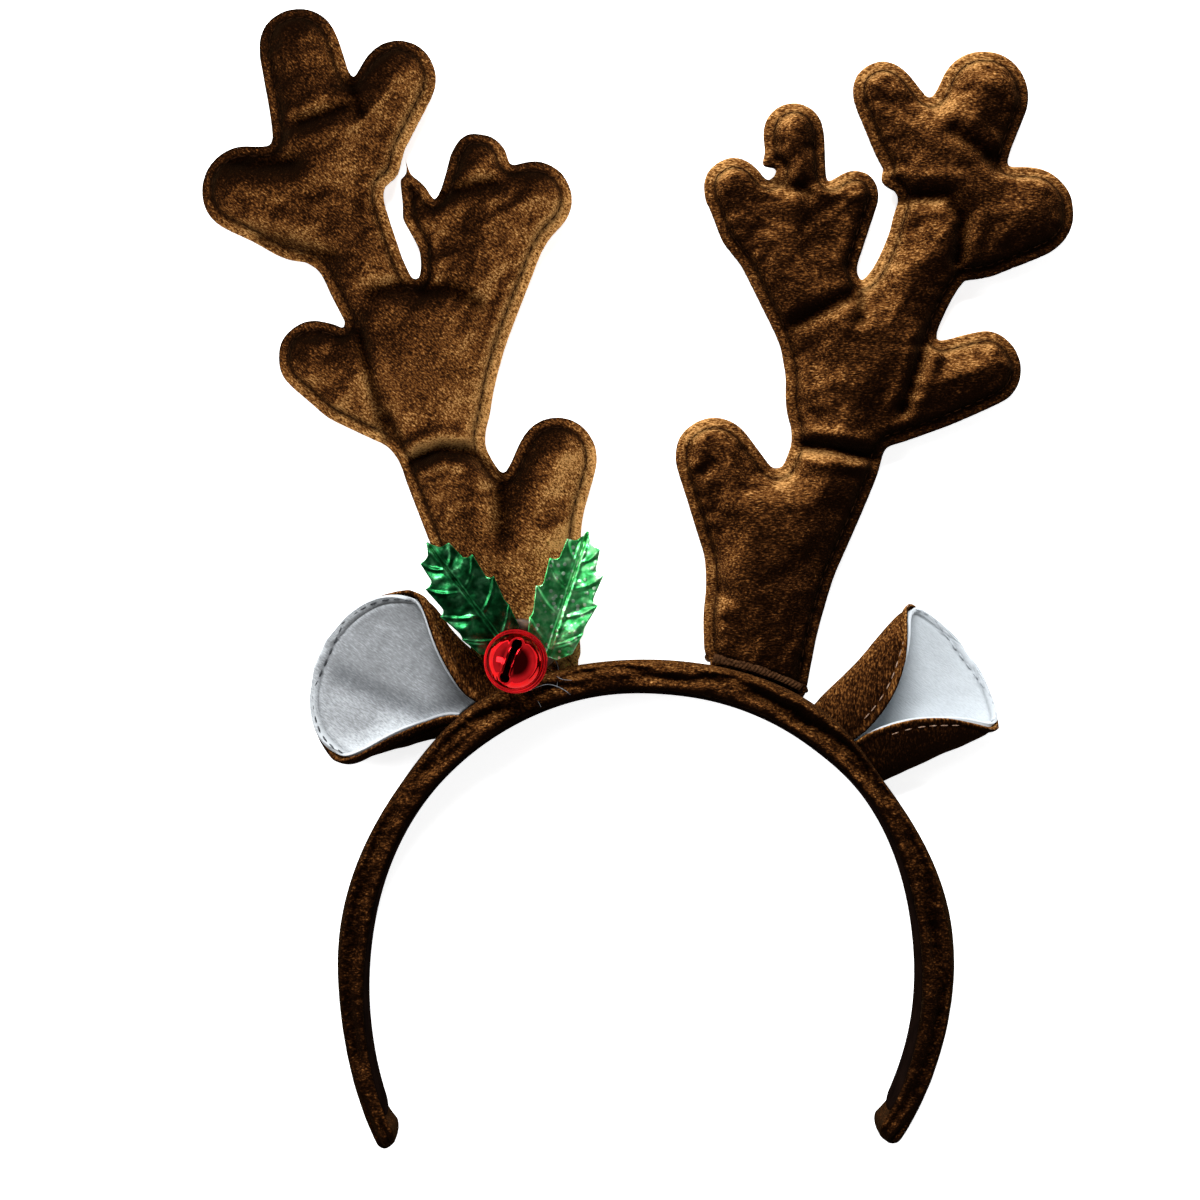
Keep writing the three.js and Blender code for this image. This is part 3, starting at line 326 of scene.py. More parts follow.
def cover_place(share, around):
    turn = COVER_END * (2 * share - 1)
    past = min(max((abs(turn) - TUCK_FROM) / TUCK_RUN, 0), 1) ** 2
    inner = inner_radius(turn) + (STRIP_THICKNESS + GAP) * (1 - past) - 0.1 * MM * past
    thick = outer_radius(turn) - inner
    end_share = COVER_END_ROUND / outer_radius(COVER_END) / math.radians(2 * COVER_END)
    to_end = min(min(share, 1 - share) / end_share, 1)
    full = math.sqrt(max(1 - (1 - to_end) ** 2, 0))
    if around < 0.82:
        angle = math.pi * around / 0.82
        bulge = math.sin(angle) ** 0.55 if angle > 0 else 0
        side = -math.copysign(abs(math.cos(angle)) ** 0.55, math.cos(angle))
    else:
        bulge = 0.0
        side = 1 - 2 * (around - 0.82) / 0.18
    radius = inner + thick * (0.5 + (bulge - 0.5) * full)
    # The padding leans over the strip's front edge, more so on the legs
    lip = (0.9 + 0.6 * min(abs(turn) / 90, 1)) * MM * (1 - past)
    radius -= lip * min(max((side - 0.82) / 0.12, 0), 1) * max(1 - 1.5 * bulge, 0) * full
    middle = COVER_WIDTH / 2
    z = middle * (1 + side * full)
    front = max(side, 0)
    sink = 0.0
    for start, stop, near, far, depth, spread in FOLDS:
        run = min(max(min(turn - start, stop - turn) / 7, 0), 1)
        if run > 0:
            t = (turn - start) / (stop - start)
            place = near + (far - near) * t + 0.05 * math.sin(t * 9 + start)
            gone = (bulge - place) * thick / (spread * MM)
            sink += 0.75 * depth * MM * run * run * (3 - 2 * run) * (
                math.exp(-gone ** 2) - 0.3 * math.exp(-(abs(gone) - 2) ** 2))
    point = band_point(turn, radius, 0)
    ripple = noise.noise(Vector((turn * 0.30, bulge * 3.2, side * 1.5))) * 0.55 * MM
    ripple += noise.noise(Vector((turn * 0.9, bulge * 5.0, 4))) * 0.25 * MM
    tight = math.exp(-((abs(turn) - COVER_END) / 7) ** 2)
    ripple += tight * 0.7 * MM * math.sin(bulge * 16 + turn * 0.2)
    gather = math.exp(-((turn + 27) / 9) ** 2) * math.sin(math.radians(turn) * 95 + bulge * 2) * 0.55 * MM
    z -= (sink + gather * bulge) * front * full
    z += ripple * front * full
    if side < 0:
        z = max(z, 0)
    point.z = min(z, COVER_WIDTH + 0.8 * MM)
    return point


strip = start_piece("alice_strip", tube_form(300, 40, strip_place))
# Injection moulded and worn matt, with the faint ripple of its mould. Its black is tinted brown, as painted
# shade, so that along the inside it reads like the sleeve's shaded velvet
plastic = mottled("black_polypropylene", 180.0, 2.0, ((0.3, "#090504"), (0.7, "#120a07")), (0.15, 0.3 * MM),
                  Roughness=0.5, Specular_IOR_Level=0.0)
finish_piece(strip, "black_plastic", plastic, "band_strip")

cover = start_piece("padded_sleeve", tube_form(760, 84, cover_place))
# Painted shade: folds are darkened where they lie deep, away from the sleeve's rounded edges
shade = cover.data.attributes.new("shade", "FLOAT", "POINT")
for vert in cover.data.vertices:
    off = vert.co - BAND_MIDDLE
    turn = math.degrees(math.atan2(off.x, off.y))
    edge = min(outer_radius(turn) - off.xy.length, off.xy.length - inner_radius(turn) - STRIP_THICKNESS)
    deep = (COVER_WIDTH - vert.co.z) / (2.0 * MM) * min(max(edge / (2.2 * MM), 0), 1)
    shade.data[vert.index].value = 0.85 * min(max(deep, 0), 1)
finish_piece(cover, "brown_velvet", velvet("sleeve_crushed_velvet", (0.0, 0.45, 0.30), 0, 0.9, 0.4, -0.15,
                                           (0.0, 0.5, 0.0), contrast=1.3), "band_cover")
cover_tree = tree_of(cover)


# Antlers. Two panels of crushed polyester velvet are sewn face to face, turned, topstitched about
# 2.6 mm in from the edge and stuffed with loose wadding. The stuffing swells up to the stitches,
# dents where the panels bend, and the backs flatten on the table.
FLANGE = 2.6 * MM
FLANGE_HALF = 0.8 * MM
SEAM_HEIGHT = 6 * MM
STUFFING = 6.6 * MM
STUFFING_REACH = 12 * MM
PANEL_PITCH = 1.3 * MM
CUT_SINK = 0.7 * MM
ANTLERS = {
    "antler_left": {
        "nap_and_light": (0.42, -0.62, 0.0), "rows": 38, "row_length": 0.75, "row_pitch": 0.34, "contrast": 0.8,
        "tone": 0.54, "drift": (0.6, -1.6, 0.0),
        "creases": [
            ([(412, 458), (440, 448), (470, 450), (488, 466)], 3.0, 1.5),
            ([(358, 330), (375, 400), (385, 437)], 1.6, 1.5),
            ([(385, 415), (400, 440)], 1.2, 1.5),
            ([(500, 470), (500, 530)], 2.0, 2.5),
            ([(230, 160), (290, 160)], 1.8, 2.4),
            ([(300, 120), (345, 105)], 1.2, 1.8),
            ([(347, 75), (360, 110)], 1.2, 1.8),
            ([(260, 235), (330, 255)], 1.4, 2.2),
            ([(372, 292), (398, 283), (424, 288), (452, 286), (478, 302)], 0.9, 2.2),
            ([(440, 190), (490, 180)], 1.2, 1.8),
        ],
    },
    "antler_right": {
        "nap_and_light": (-0.30, 0.66, 0.0), "rows": 0, "row_length": 1.1, "row_pitch": 0.32, "contrast": 0.85,
        "tone": 0.29, "drift": (0.2, 0.2, 0.0),
        "creases": [
            ([(806, 445), (840, 450), (880, 458)], 3.0, 1.5),
            ([(925, 345), (905, 410)], 1.6, 1.5),
            ([(795, 325), (850, 295)], 1.3, 1.8),
            ([(862, 290), (860, 320)], 1.0, 1.5),
            ([(900, 195), (950, 195), (965, 220), (960, 260)], 1.9, 1.8),
            ([(955, 130), (985, 150), (1000, 165)], 1.4, 1.8),
            ([(770, 175), (810, 190)], 1.2, 1.6),
        ],
    },
}


def at_pixel(px, py, z=12 * MM):
    """The place on the level z that shows at a pixel of the photograph."""
    scale = VIEW_WIDTH / 1200 * (VIEW_DISTANCE + SEAM_HEIGHT - z) / VIEW_DISTANCE
    return Vector((VIEW_MIDDLE[0] + (px - 600) * scale, VIEW_MIDDLE[1] + (600 - py) * scale, z))


def apply_modifiers(piece):
    """Replaces a piece's mesh by what its modifiers make of it."""
    graph = bpy.context.evaluated_depsgraph_get()
    made = bpy.data.meshes.new_from_object(piece.evaluated_get(graph))
    old = piece.data
    piece.modifiers.clear()
    piece.data = made
    bpy.data.meshes.remove(old)
    made.name = piece.name


def subdivide(piece, levels):
    modifier = piece.modifiers.new("smooth", "SUBSURF")
    modifier.levels = modifier.render_levels = levels
    apply_modifiers(piece)


def top_of(trees, x, y):
    """The highest point of the given surfaces at a place, with its normal."""
    best = (Vector((x, y, 0)), Vector((0, 0, 1)))
    for tree in trees:
        hit, normal, _, _ = tree.ray_cast(Vector((x, y, 80 * MM)), Vector((0, 0, -1)))
        if hit and hit.z > best[0].z:
            best = (hit, normal)
    return best


def nearest_of(points):
    """A search tree of points."""
    found = kdtree.KDTree(len(points))
    for i, point in enumerate(points):
        found.insert(point, i)
    found.balance()
    return found


def add_capsule(form, place, along, up, length, radius):
    """One stitch of thread: a rounded bar that lies along a direction."""
    along = along.normalized()
    side = up.cross(along).normalized()
    turn = Matrix((side, along.cross(side), along)).transposed().to_4x4()
    size = Matrix.Diagonal((radius, radius, length / 2, 1))
    bmesh.ops.create_uvsphere(form, u_segments=6, v_segments=5, radius=1,
                              matrix=Matrix.Translation(place) @ turn @ size)


def thread(name, colours):
    """Spun polyester thread: fine twist, dull."""
    return mottled(name, 1800.0, 2.0, list(zip((0.3, 0.7), colours)), (0.4, 0.1 * MM), Roughness=0.8,
                   Specular_IOR_Level=0.0)


def sewn_panels(node):
    """The antler's two panels as a flat slab in a grid, from the outline of its CAD node."""
    form = bmesh.new()
    form.from_mesh(nodes[node].data)
    bmesh.ops.remove_doubles(form, verts=form.verts, dist=1e-6)
    form.normal_update()
    rim = set()
    for face in form.faces:
        if abs(face.normal.z) < 0.02:
            for edge in face.edges:
                if any(other.normal.z > 0.02 for other in edge.link_faces):
                    rim.add(edge)
    bmesh.ops.delete(form, geom=[e for e in form.edges if e not in rim], context="EDGES")
    bmesh.ops.delete(form, geom=[v for v in form.verts if not v.link_edges], context="VERTS")
    cut = [v.co.xy.to_3d() for v in form.verts if v.co.z > SEAM_HEIGHT + 2 * FLANGE_HALF]
    for vert in form.verts:
        vert.co.z = 0
    bmesh.ops.subdivide_edges(form, edges=form.edges[:], cuts=3)
    cut_near = nearest_of(cut)
    free = [v for v in form.verts if cut_near.find(v.co)[2] > 3 * MM]
    for _ in range(4):
        bmesh.ops.smooth_vert(form, verts=free, factor=0.5, use_axis_x=True, use_axis_y=True)
    for vert in form.verts:
        off = vert.co - BAND_MIDDLE
        turn = math.degrees(math.atan2(off.x, off.y))
        apart = off.xy.length - outer_radius(turn)
        if apart < 1.2 * MM:
            vert.co -= off.normalized() * (apart + CUT_SINK)
    panel = bmesh.ops.contextual_create(form, geom=form.edges[:])["faces"][0]
    if panel.normal.z < 0:
        panel.normal_flip()
    ring = [v.co.copy() for v in panel.verts]
    for axis in (0, 1):
        low = min(p[axis] for p in ring)
        high = max(p[axis] for p in ring)
        count = round((high - low) / PANEL_PITCH)
        for k in range(1, count):
            point = Vector((0, 0, 0))
            point[axis] = low + (high - low) * k / count
            normal = Vector((0, 0, 0))
            normal[axis] = 1
            bmesh.ops.bisect_plane(form, geom=form.verts[:] + form.edges[:] + form.faces[:], dist=1e-6,
                                   plane_co=point, plane_no=normal)
    bmesh.ops.remove_doubles(form, verts=form.verts[:], dist=0.12 * MM)
    made = bmesh.ops.extrude_face_region(form, geom=form.faces[:], use_keep_orig=True)
    lower = [g for g in made["geom"] if isinstance(g, bmesh.types.BMVert)]
    for vert in form.verts:
        vert.co.z = 1
    for vert in lower:
        vert.co.z = -1
    bmesh.ops.recalc_face_normals(form, faces=form.faces[:])
    return form, ring, cut


def swell(piece, pressure, growth, frames, most):
    """Stuffs a piece with Cloth: pressure inside, panels that grow a little, and the flange held."""
    start = [v.co.copy() for v in piece.data.vertices]
    cloth = piece.modifiers.new("stuffing", "CLOTH")
    settings = cloth.settings
    settings.quality = 4
    settings.mass = 0.15
    settings.tension_stiffness = settings.compression_stiffness = 12
    settings.shear_stiffness = 6
    settings.bending_stiffness = 0.05
    settings.vertex_group_mass = "sewn"
    settings.use_pressure = True
    settings.uniform_pressure_force = pressure
    settings.shrink_min = growth
    settings.effector_weights.gravity = 0
    cloth.collision_settings.use_collision = False
    cloth.point_cache.frame_start = 1
    cloth.point_cache.frame_end = frames
    for f in range(1, frames + 1):
        bpy.context.scene.frame_set(f)
    graph = bpy.context.evaluated_depsgraph_get()
    swollen = piece.evaluated_get(graph).to_mesh()
    ends = [v.co.copy() for v in swollen.vertices]
    piece.modifiers.clear()
    for vert, a, b in zip(piece.data.vertices, start, ends):
        move = b - a
        if move.length > most:
            move *= most / move.length
        vert.co = a + move
    bpy.context.scene.frame_set(1)


def crease_depth(point, line, width):
    """How deep a crease is at a point, from 1 on its line to below 0 on its lips, and 0 further off."""
    nearest = 1.0
    for a, b in zip(line, line[1:]):
        along = b - a
        t = min(max((point - a).dot(along) / along.length_squared, 0), 1)
        nearest = min(nearest, (point - a - along * t).length)
    if nearest > 5 * width:
        return 0.0
    return math.exp(-(nearest / width) ** 2) - 0.38 * math.exp(-((nearest - 2.3 * width) / width) ** 2)


brown_thread = thread("brown_polyester_thread", ("#150a05", "#2a180c"))
antler_trees = {}
for number, (node, facts) in enumerate(ANTLERS.items()):
    form, ring, cut = sewn_panels(node)
    cut_near = nearest_of(cut)
    hem = [p for p in ring if cut_near.find(p)[2] > 1.6 * MM]
    hem_near = nearest_of(hem)
    piece = start_piece(node + "_panels", form)
    sewn = piece.vertex_groups.new(name="sewn")
    distances = []
    for vert in piece.data.vertices:
        flat = vert.co.xy.to_3d()
        away = hem_near.find(flat)[2]
        distances.append(away)
        within = min(max((away - FLANGE) / STUFFING_REACH, 0), 1)
        lift = STUFFING * math.sqrt(1 - (1 - within) ** 2) * 0.9
        top = SEAM_HEIGHT + vert.co.z * (FLANGE_HALF * min(1, 0.25 + away / MM) + lift)
        vert.co.z = max(top, 0)
        on_cut = cut_near.find(flat)[2] < 0.6 * MM
        if away < FLANGE or on_cut:
            sewn.add([vert.index], 1.0, "REPLACE")
    swell(piece, pressure=3.0, growth=-0.06, frames=14, most=3.0 * MM)
    lines = [([at_pixel(*p).xy.to_3d() for p in line], depth * MM, width * MM)
             for line, depth, width in facts["creases"]]
    subdivide(piece, 1)
    shade = piece.data.attributes.new("shade", "FLOAT", "POINT")
    brim = piece.data.attributes.new("hem", "FLOAT", "POINT")
    for vert in piece.data.vertices:
        flat = vert.co.xy.to_3d()
        away = hem_near.find(flat)[2]
        brim.data[vert.index].value = 1.0 if away < FLANGE - 0.5 * MM else 0.0
        # Painted shade: a dark line along the seam groove, and darker still in the creases, through "shade"
        dark = 0.85 * math.exp(-((away - FLANGE) / (0.6 * MM)) ** 2)
        lift = vert.co.z - SEAM_HEIGHT
        if lift > 0:
            soft = STUFFING + 1.0 * MM
            lift = soft * math.tanh(lift / soft) * 1.12
            inside = min(max((away - FLANGE) / (3 * MM), 0), 1)
            wave = noise.noise(flat * 210 + Vector((number * 7, 0, 0)))
            small = noise.noise(flat * 520 + Vector((0, number * 5, 3)))
            lift += inside * (wave * 0.24 + small * 0.10) * MM
            pucker = noise.noise(flat * 430 + Vector((3, 8, number)))
            lift += pucker * 0.55 * MM * math.exp(-((away - 4.4 * MM) / (1.8 * MM)) ** 2)
            for line, depth, width in lines:
                deep = crease_depth(flat, line, width)
                lift -= depth * deep * min(1, lift / (4 * MM))
                dark = max(dark, 0.8 * deep)
            vert.co.z = SEAM_HEIGHT + max(lift, 0.2 * MM)
        else:
            vert.co.z = max(vert.co.z, 0)
        shade.data[vert.index].value = max(dark, 0)
    finish_piece(piece, "brown_velvet", velvet(node + "_crushed_velvet", facts["nap_and_light"], facts["rows"],
                                               facts["row_length"], facts["row_pitch"], facts["tone"],
                                               facts["drift"], contrast=facts["contrast"]), node)
    antler_trees[node] = tree_of(piece)

    # Topstitching through both panels, a stitch of 2 mm every 3 mm.
    stitches = bmesh.new()
    stitch_pitch = 3.0 * MM
    travelled = 0.0
    for before, after in zip(ring, ring[1:] + ring[:1]):
        step = after - before
        travelled += step.length
        if travelled < stitch_pitch or step.length < 1e-6:
            continue
        travelled -= stitch_pitch
        inward = Vector((-step.y, step.x, 0)).normalized()
        spot = before + inward * FLANGE
        if hem_near.find(spot)[2] < 0.9 * FLANGE or cut_near.find(spot)[2] < 2 * FLANGE:
            continue
        hit, normal = top_of([antler_trees[node]], spot.x, spot.y)
        if hit.z > SEAM_HEIGHT / 2:
            add_capsule(stitches, hit, step, Vector((0, 0, 1)), 2.0 * MM, 0.17 * MM)
    finish_piece(start_piece(node + "_topstitching", stitches), "brown_velvet", brown_thread)


# Ears. Each is a leaf of brown velvet backed with white brushed lining, hemmed and topstitched about
# 2 mm in from its edge, then folded lengthwise into a cup and sewn to the sleeve by its pinched foot.
EAR_CLOTH = 1.0 * MM
EAR_LIFT = 0.4 * MM
EAR_SINK = 1.3 * MM
CLOTH_PRESSED = 0.94
EARS = {
    "ear_left": {
        "length": 36.5, "width": 42, "depth": 11, "turn": -41.5, "heading": 156,
        "rows": [(0.00, 0.180, 166, 0.70), (0.10, 0.225, 162, 0.80), (0.21, 0.29, 150, 0.92),
                 (0.35, 0.37, 133, 1.00), (0.52, 0.49, 112, 0.90), (0.66, 0.50, 86, 0.80),
                 (0.82, 0.46, 66, 0.70), (0.94, 0.38, 44, 0.60), (1.00, 0.30, 16, 0.55)],
        "flat": (50 * MM, 37 * MM), "area": 1500 * MM ** 2, "hem": 2.2,
        # The left lining's tones and its lining thread are painted darker than the right's, as painted shade:
        # both are the same white lining and pale thread
        "cloth_tones": ("#5d5f61", "#838689", "#b9bec2"),
        "lining_nap_and_light": (-0.15, 0.75, 0.0), "lining_thread": ("#2f3134", "#56585b"), "lean": -3.2,
        "valley": [(338, 676), (385, 700), (425, 716), (458, 704)],
        "outer_thread": ("#2a170c", "#4d3220"), "nap_and_light": (0.2, 0.5, 0.3), "tone": 0.0,
    },
    "ear_right": {
        "length": 34.5, "width": 34.6, "depth": 11.5, "turn": 49, "heading": 36,
        "rows": [(0.00, 0.32, 179, 0.75), (0.14, 0.35, 178, 0.85), (0.36, 0.39, 168, 1.00),
                 (0.56, 0.44, 152, 1.00), (0.74, 0.48, 130, 0.92), (0.86, 0.50, 96, 0.80),
                 (0.93, 0.49, 60, 0.70), (0.98, 0.46, 34, 0.62), (1.00, 0.42, 10, 0.60)],
        "flat": (57 * MM, 35 * MM), "area": 1700 * MM ** 2, "hem": 1.7,
        "cloth_tones": ("#a8aeb3", "#b9c0c5", "#c9cfd4"),
        "lining_nap_and_light": (0.1, 0.15, 0.0), "lining_thread": ("#9aa0a5", "#b6bcc1"), "lean": 0.0, "valley": [],
        "outer_thread": ("#6b4c38", "#a88f7c"), "nap_and_light": (-0.2, 0.6, 0.2), "tone": 0.08,
    },
}


def ear_place(ear, along, share):
    """A point of the ear's middle layer, along from its foot to its tip and share from hem to hem."""
    angle = math.radians(ear["heading"])
    ahead = Vector((math.cos(angle), math.sin(angle), 0))
    aside = Vector((-math.sin(angle), math.cos(angle), 0))
    foot = band_point(ear["turn"], outer_radius(ear["turn"]) + GAP, 0)

    def unslid(row):
        half, wrap, deep = (read_table([(r[0], r[k]) for r in ear["rows"]], row) for k in (1, 2, 3))
        round_it = math.radians(wrap) * (2 * share - 1)
        point = foot + ahead * row * ear["length"] * MM
        point += aside * (half * ear["width"] * math.sin(round_it) + ear["lean"] * (1 - row) ** 1.6) * MM
        low = EAR_LIFT + EAR_CLOTH + GAP / 2
        point.z = low + ear["depth"] * MM * deep * (1 - math.cos(round_it)) / 2
        return point

    if share not in ear["slides"]:
        start = unslid(0.0)
        slide = 0.0
        for _ in range(12):
            off = start + ahead * slide - BAND_MIDDLE
            turn = math.degrees(math.atan2(off.x, off.y))
            slide -= EAR_SINK + off.xy.length - outer_radius(turn) - GAP
        ear["slides"][share] = slide
    return unslid(along) + ahead * ear["slides"][share] * (1 - along) ** 2


def ear_normal(ear, along, share):
    step = 0.004
    a = ear_place(ear, min(along + step, 1), share) - ear_place(ear, max(along - step, 0), share)
    b = ear_place(ear, along, min(share + step, 1)) - ear_place(ear, along, max(share - step, 0))
    return a.cross(b).normalized()


def ear_layer(name, ear, side, hem_near, detail):
    """One layer of cloth of an ear, on one side of the middle, with a groove where it is stitched and a
    valley where the lining is creased, both sunk a little and darkened with painted shade."""
    form = bmesh.new()
    bmesh.ops.create_grid(form, x_segments=64, y_segments=96, size=1)
    valley = [at_pixel(*p).xy.to_3d() for p in ear["valley"]]
    shade_and_brim = {}
    for vert in form.verts:
        along, share = (vert.co.x + 1) / 2, (vert.co.y + 1) / 2
        if side > 0:
            along = 0.03 + 0.97 * along
        else:
            along *= 1 - 2.0 / ear["length"]
            inset = 0.045 * min(max((along - 0.6) / 0.3, 0), 1)
            share = inset + (1 - 2 * inset) * share
        point = ear_place(ear, along, share)
        normal = ear_normal(ear, along, share)
        away = hem_near.find(point)[2]
        groove = math.exp(-((away - ear["hem"] * MM) / (0.6 * MM)) ** 2)
        puff = noise.noise(point * 300 + Vector((side, 0, 0)))
        shift = (EAR_CLOTH + GAP) / 2
        brim = min(max((ear["hem"] * MM - away) / (0.9 * MM) + 0.5, 0), 1)
        shift += detail * (0.26 * MM * brim * brim * (3 - 2 * brim) - 0.34 * MM * groove + 0.14 * MM * puff)
        shift += 0.25 * MM * detail * noise.noise(point * 110)
        vert.co = point + normal * side * shift
        deep = 0
        if side > 0 and valley:
            deep = crease_depth(point.xy.to_3d(), valley, 3.2 * MM)
            vert.co -= normal * 0.3 * MM * deep
        # Painted shade in the stitched groove and in the lining's valley, kept beside the brim
        shade_and_brim[vert.index] = (max(0.4 * groove, 0.55 * deep), brim)
    piece = start_piece(name, form)
    shade, hem = (piece.data.attributes.new(n, "FLOAT", "POINT") for n in ("shade", "hem"))
    for vert in piece.data.vertices:
        shade.data[vert.index].value, hem.data[vert.index].value = shade_and_brim[vert.index]
    thick = piece.modifiers.new("cloth", "SOLIDIFY")
    thick.thickness = EAR_CLOTH * CLOTH_PRESSED
    thick.offset = 0
    apply_modifiers(piece)
    subdivide(piece, 1)
    return piece


def brushed_lining(name, tones, lie, nap_and_light):
    """Brushed polyester lining, like felt: fibres combed roughly one way over a close weave, soft and
    without gloss. The fibres are drawn at 0.3 mm, ten times their size. Slopes that face nap_and_light
    are painted paler and the rest darker, as painted light and shade."""
    material, tree, shader = new_material(name)
    place = add_node(tree, "ShaderNodeTexCoord").outputs["Object"]
    turned = add_node(tree, "ShaderNodeMapping", Vector=place, Rotation=(0, 0, math.radians(lie)))
    combed = add_node(tree, "ShaderNodeMapping", Vector=turned.outputs["Vector"],
                      Scale=(900, 3400, 3400)).outputs["Vector"]
    fibres = add_node(tree, "ShaderNodeTexNoise", Vector=combed, Scale=1.0, Detail=4.0).outputs["Fac"]
    clouds = add_node(tree, "ShaderNodeTexNoise", Vector=place, Scale=140.0, Detail=2.0).outputs["Fac"]
    seen = add_node(tree, "ShaderNodeNewGeometry").outputs["Normal"]
    # Painted light and shade: the colour follows how each slope faces nap_and_light
    facing = add_node(tree, "ShaderNodeVectorMath", {"operation": "DOT_PRODUCT"}, _0=seen,
                      _1=nap_and_light).outputs["Value"]
    hem = add_node(tree, "ShaderNodeAttribute", {"attribute_name": "hem"}).outputs["Fac"]
    value = add_up(tree, -0.15, (clouds, 0.3), (facing, 1.0), (fibres, 1.0), (hem, 0.22))
    ramp = add_node(tree, "ShaderNodeValToRGB", Fac=value)
    set_ramp(ramp, list(zip((0.05, 0.50, 0.98), tones)))
    finish_shader(tree, shader, darken(tree, ramp.outputs["Color"], "#7f8286"), (fibres, 0.35, 0.3 * MM),
                  Roughness=0.92, Specular_IOR_Level=0.2, Sheen_Weight=0.3, Sheen_Roughness=0.5)
    return material


for name, ear in EARS.items():
    ear["slides"] = {}
    edge = [ear_place(ear, 1, k / 80) for k in range(81)]
    edge += [ear_place(ear, 0.06 + 0.94 * k / 60, share) for k in range(61) for share in (0, 1)]
    edge_near = nearest_of(edge)
    outer = ear_layer(name + "_velvet", ear, -1, edge_near, 0.9)
    finish_piece(outer, "brown_velvet", velvet(name + "_crushed_velvet", ear["nap_and_light"], 90, 1.2, 0.4,
                                               ear["tone"]), name + "_outer")
    lining = ear_layer(name + "_brushed_lining", ear, 1, edge_near, 1.0)
    finish_piece(lining, "white_lining", brushed_lining(name + "_brushed_polyester", ear["cloth_tones"], 35,
                                                          ear["lining_nap_and_light"]),
                 name + "_lining")

    # One line of stitches through both layers, 2 mm stitches every 2.9 mm
    tip = 1 - ear["hem"] / ear["length"]
    path = []
    for share, turns in ((0, range(12, 60)), (1, range(60, 11, -1))):
        rows = [tip * k / 60 for k in turns]
        side_path = []
        for along in rows:
            arc = sum((ear_place(ear, along, (k + 1) / 16) - ear_place(ear, along, k / 16)).length
                      for k in range(16))
            side_path.append((along, abs(share - ear["hem"] * MM / arc)))
        if share == 0:
            path += side_path
            first = side_path[-1][1]
            path += [(tip, first + (1 - 2 * first) * k / 60) for k in range(61)]
        else:
            path += side_path
    tops, backs = bmesh.new(), bmesh.new()
    spots = [ear_place(ear, *p) for p in path]
    travelled = 0.0
    for k in range(1, len(spots)):
        step = spots[k] - spots[k - 1]
        travelled += step.length
        if travelled < 2.9 * MM or step.length < 1e-6:
            continue
        travelled -= 2.9 * MM
        normal = ear_normal(ear, *path[k])
        reach = GAP / 2 + EAR_CLOTH * CLOTH_PRESSED - 0.04 * MM
        add_capsule(tops, spots[k] + normal * (reach + 0.25 * MM), step, normal, 1.9 * MM, 0.24 * MM)
        add_capsule(backs, spots[k] - normal * reach, step, normal, 1.9 * MM, 0.16 * MM)
    finish_piece(start_piece(name + "_lining_stitches", tops), "white_lining",
                 thread(name + "_lining_thread", ear["lining_thread"]))
    finish_piece(start_piece(name + "_velvet_stitches", backs), "brown_velvet",
                 thread(name + "_polyester_thread", ear["outer_thread"]))


# Braid. A short twisted cord-like tape, sewn over the seam where the right antler meets the sleeve.
BRAID_WIDTH = 2.3 * MM
BRAID_THICKNESS = 1.2 * MM
BRAID_FROM, BRAID_TO = 13.5, 36.0
BRAID_RIB = 0.95 * MM


def braid_place(share, around):
    turn = BRAID_FROM + (BRAID_TO - BRAID_FROM) * share
    narrow = 1.0 - 0.25 * share
    middle = outer_radius(turn) + GAP + 0.3 * MM + BRAID_WIDTH / 2
    ends = [top_of([antler_trees["antler_right"], cover_tree],
                   *band_point(BRAID_FROM + (BRAID_TO - BRAID_FROM) * s, middle, 0).xy)[0].z
            for s in (max(share - 0.06, 0), share, min(share + 0.06, 1))]
    low = sum(ends) / 3 + 0.35 * MM
    angle = 2 * math.pi * around
    length = math.radians(turn) * middle
    close = min(1.0, min(share, 1 - share) * 30) ** 0.5
    rib = abs(math.sin(math.pi * (length / BRAID_RIB + around * 2)))
    half = BRAID_WIDTH / 2 * narrow * math.cos(angle) * close
    rise = BRAID_THICKNESS * (0.28 + 0.30 * rib) * math.sin(angle) * close
    return band_point(turn, middle + half, low + BRAID_THICKNESS / 2 + rise)


braid = start_piece("seam_braid", tube_form(420, 18, braid_place))
finish_piece(braid, "ribbed_tape", thread("brown_rayon_braid", ("#1c0f07", "#4e3420")), "join_braid")


# Glue. Hot-melt glue holds the trim: a clear, slightly milky dab under the leaves and the bell, and a
# few hair-thin strings that it drew out as the gun was lifted off.
glue_form = bmesh.new()
glue_form.from_mesh(nodes["glue_dab"].data)
bmesh.ops.remove_doubles(glue_form, verts=glue_form.verts[:], dist=1e-6)
for _ in range(2):
    bmesh.ops.smooth_vert(glue_form, verts=glue_form.verts[:], factor=0.5, use_axis_x=True, use_axis_y=True,
                          use_axis_z=True)
glue = start_piece("hot_melt_dab", glue_form)
subdivide(glue, 2)
for vert in glue.data.vertices:
    vert.co.z += 0.18 * MM * noise.noise(vert.co * 400) - 0.1 * MM
glue_melt = mottled("hot_melt_glue", 300.0, 3.0, ((0.35, "#9c8c7c"), (0.7, "#c9bfb4")), (0.3, 0.4 * MM),
                    Roughness=0.35, IOR=1.22, Transmission_Weight=1.0)
finish_piece(glue, "hot_glue", glue_melt, "glue_dab")


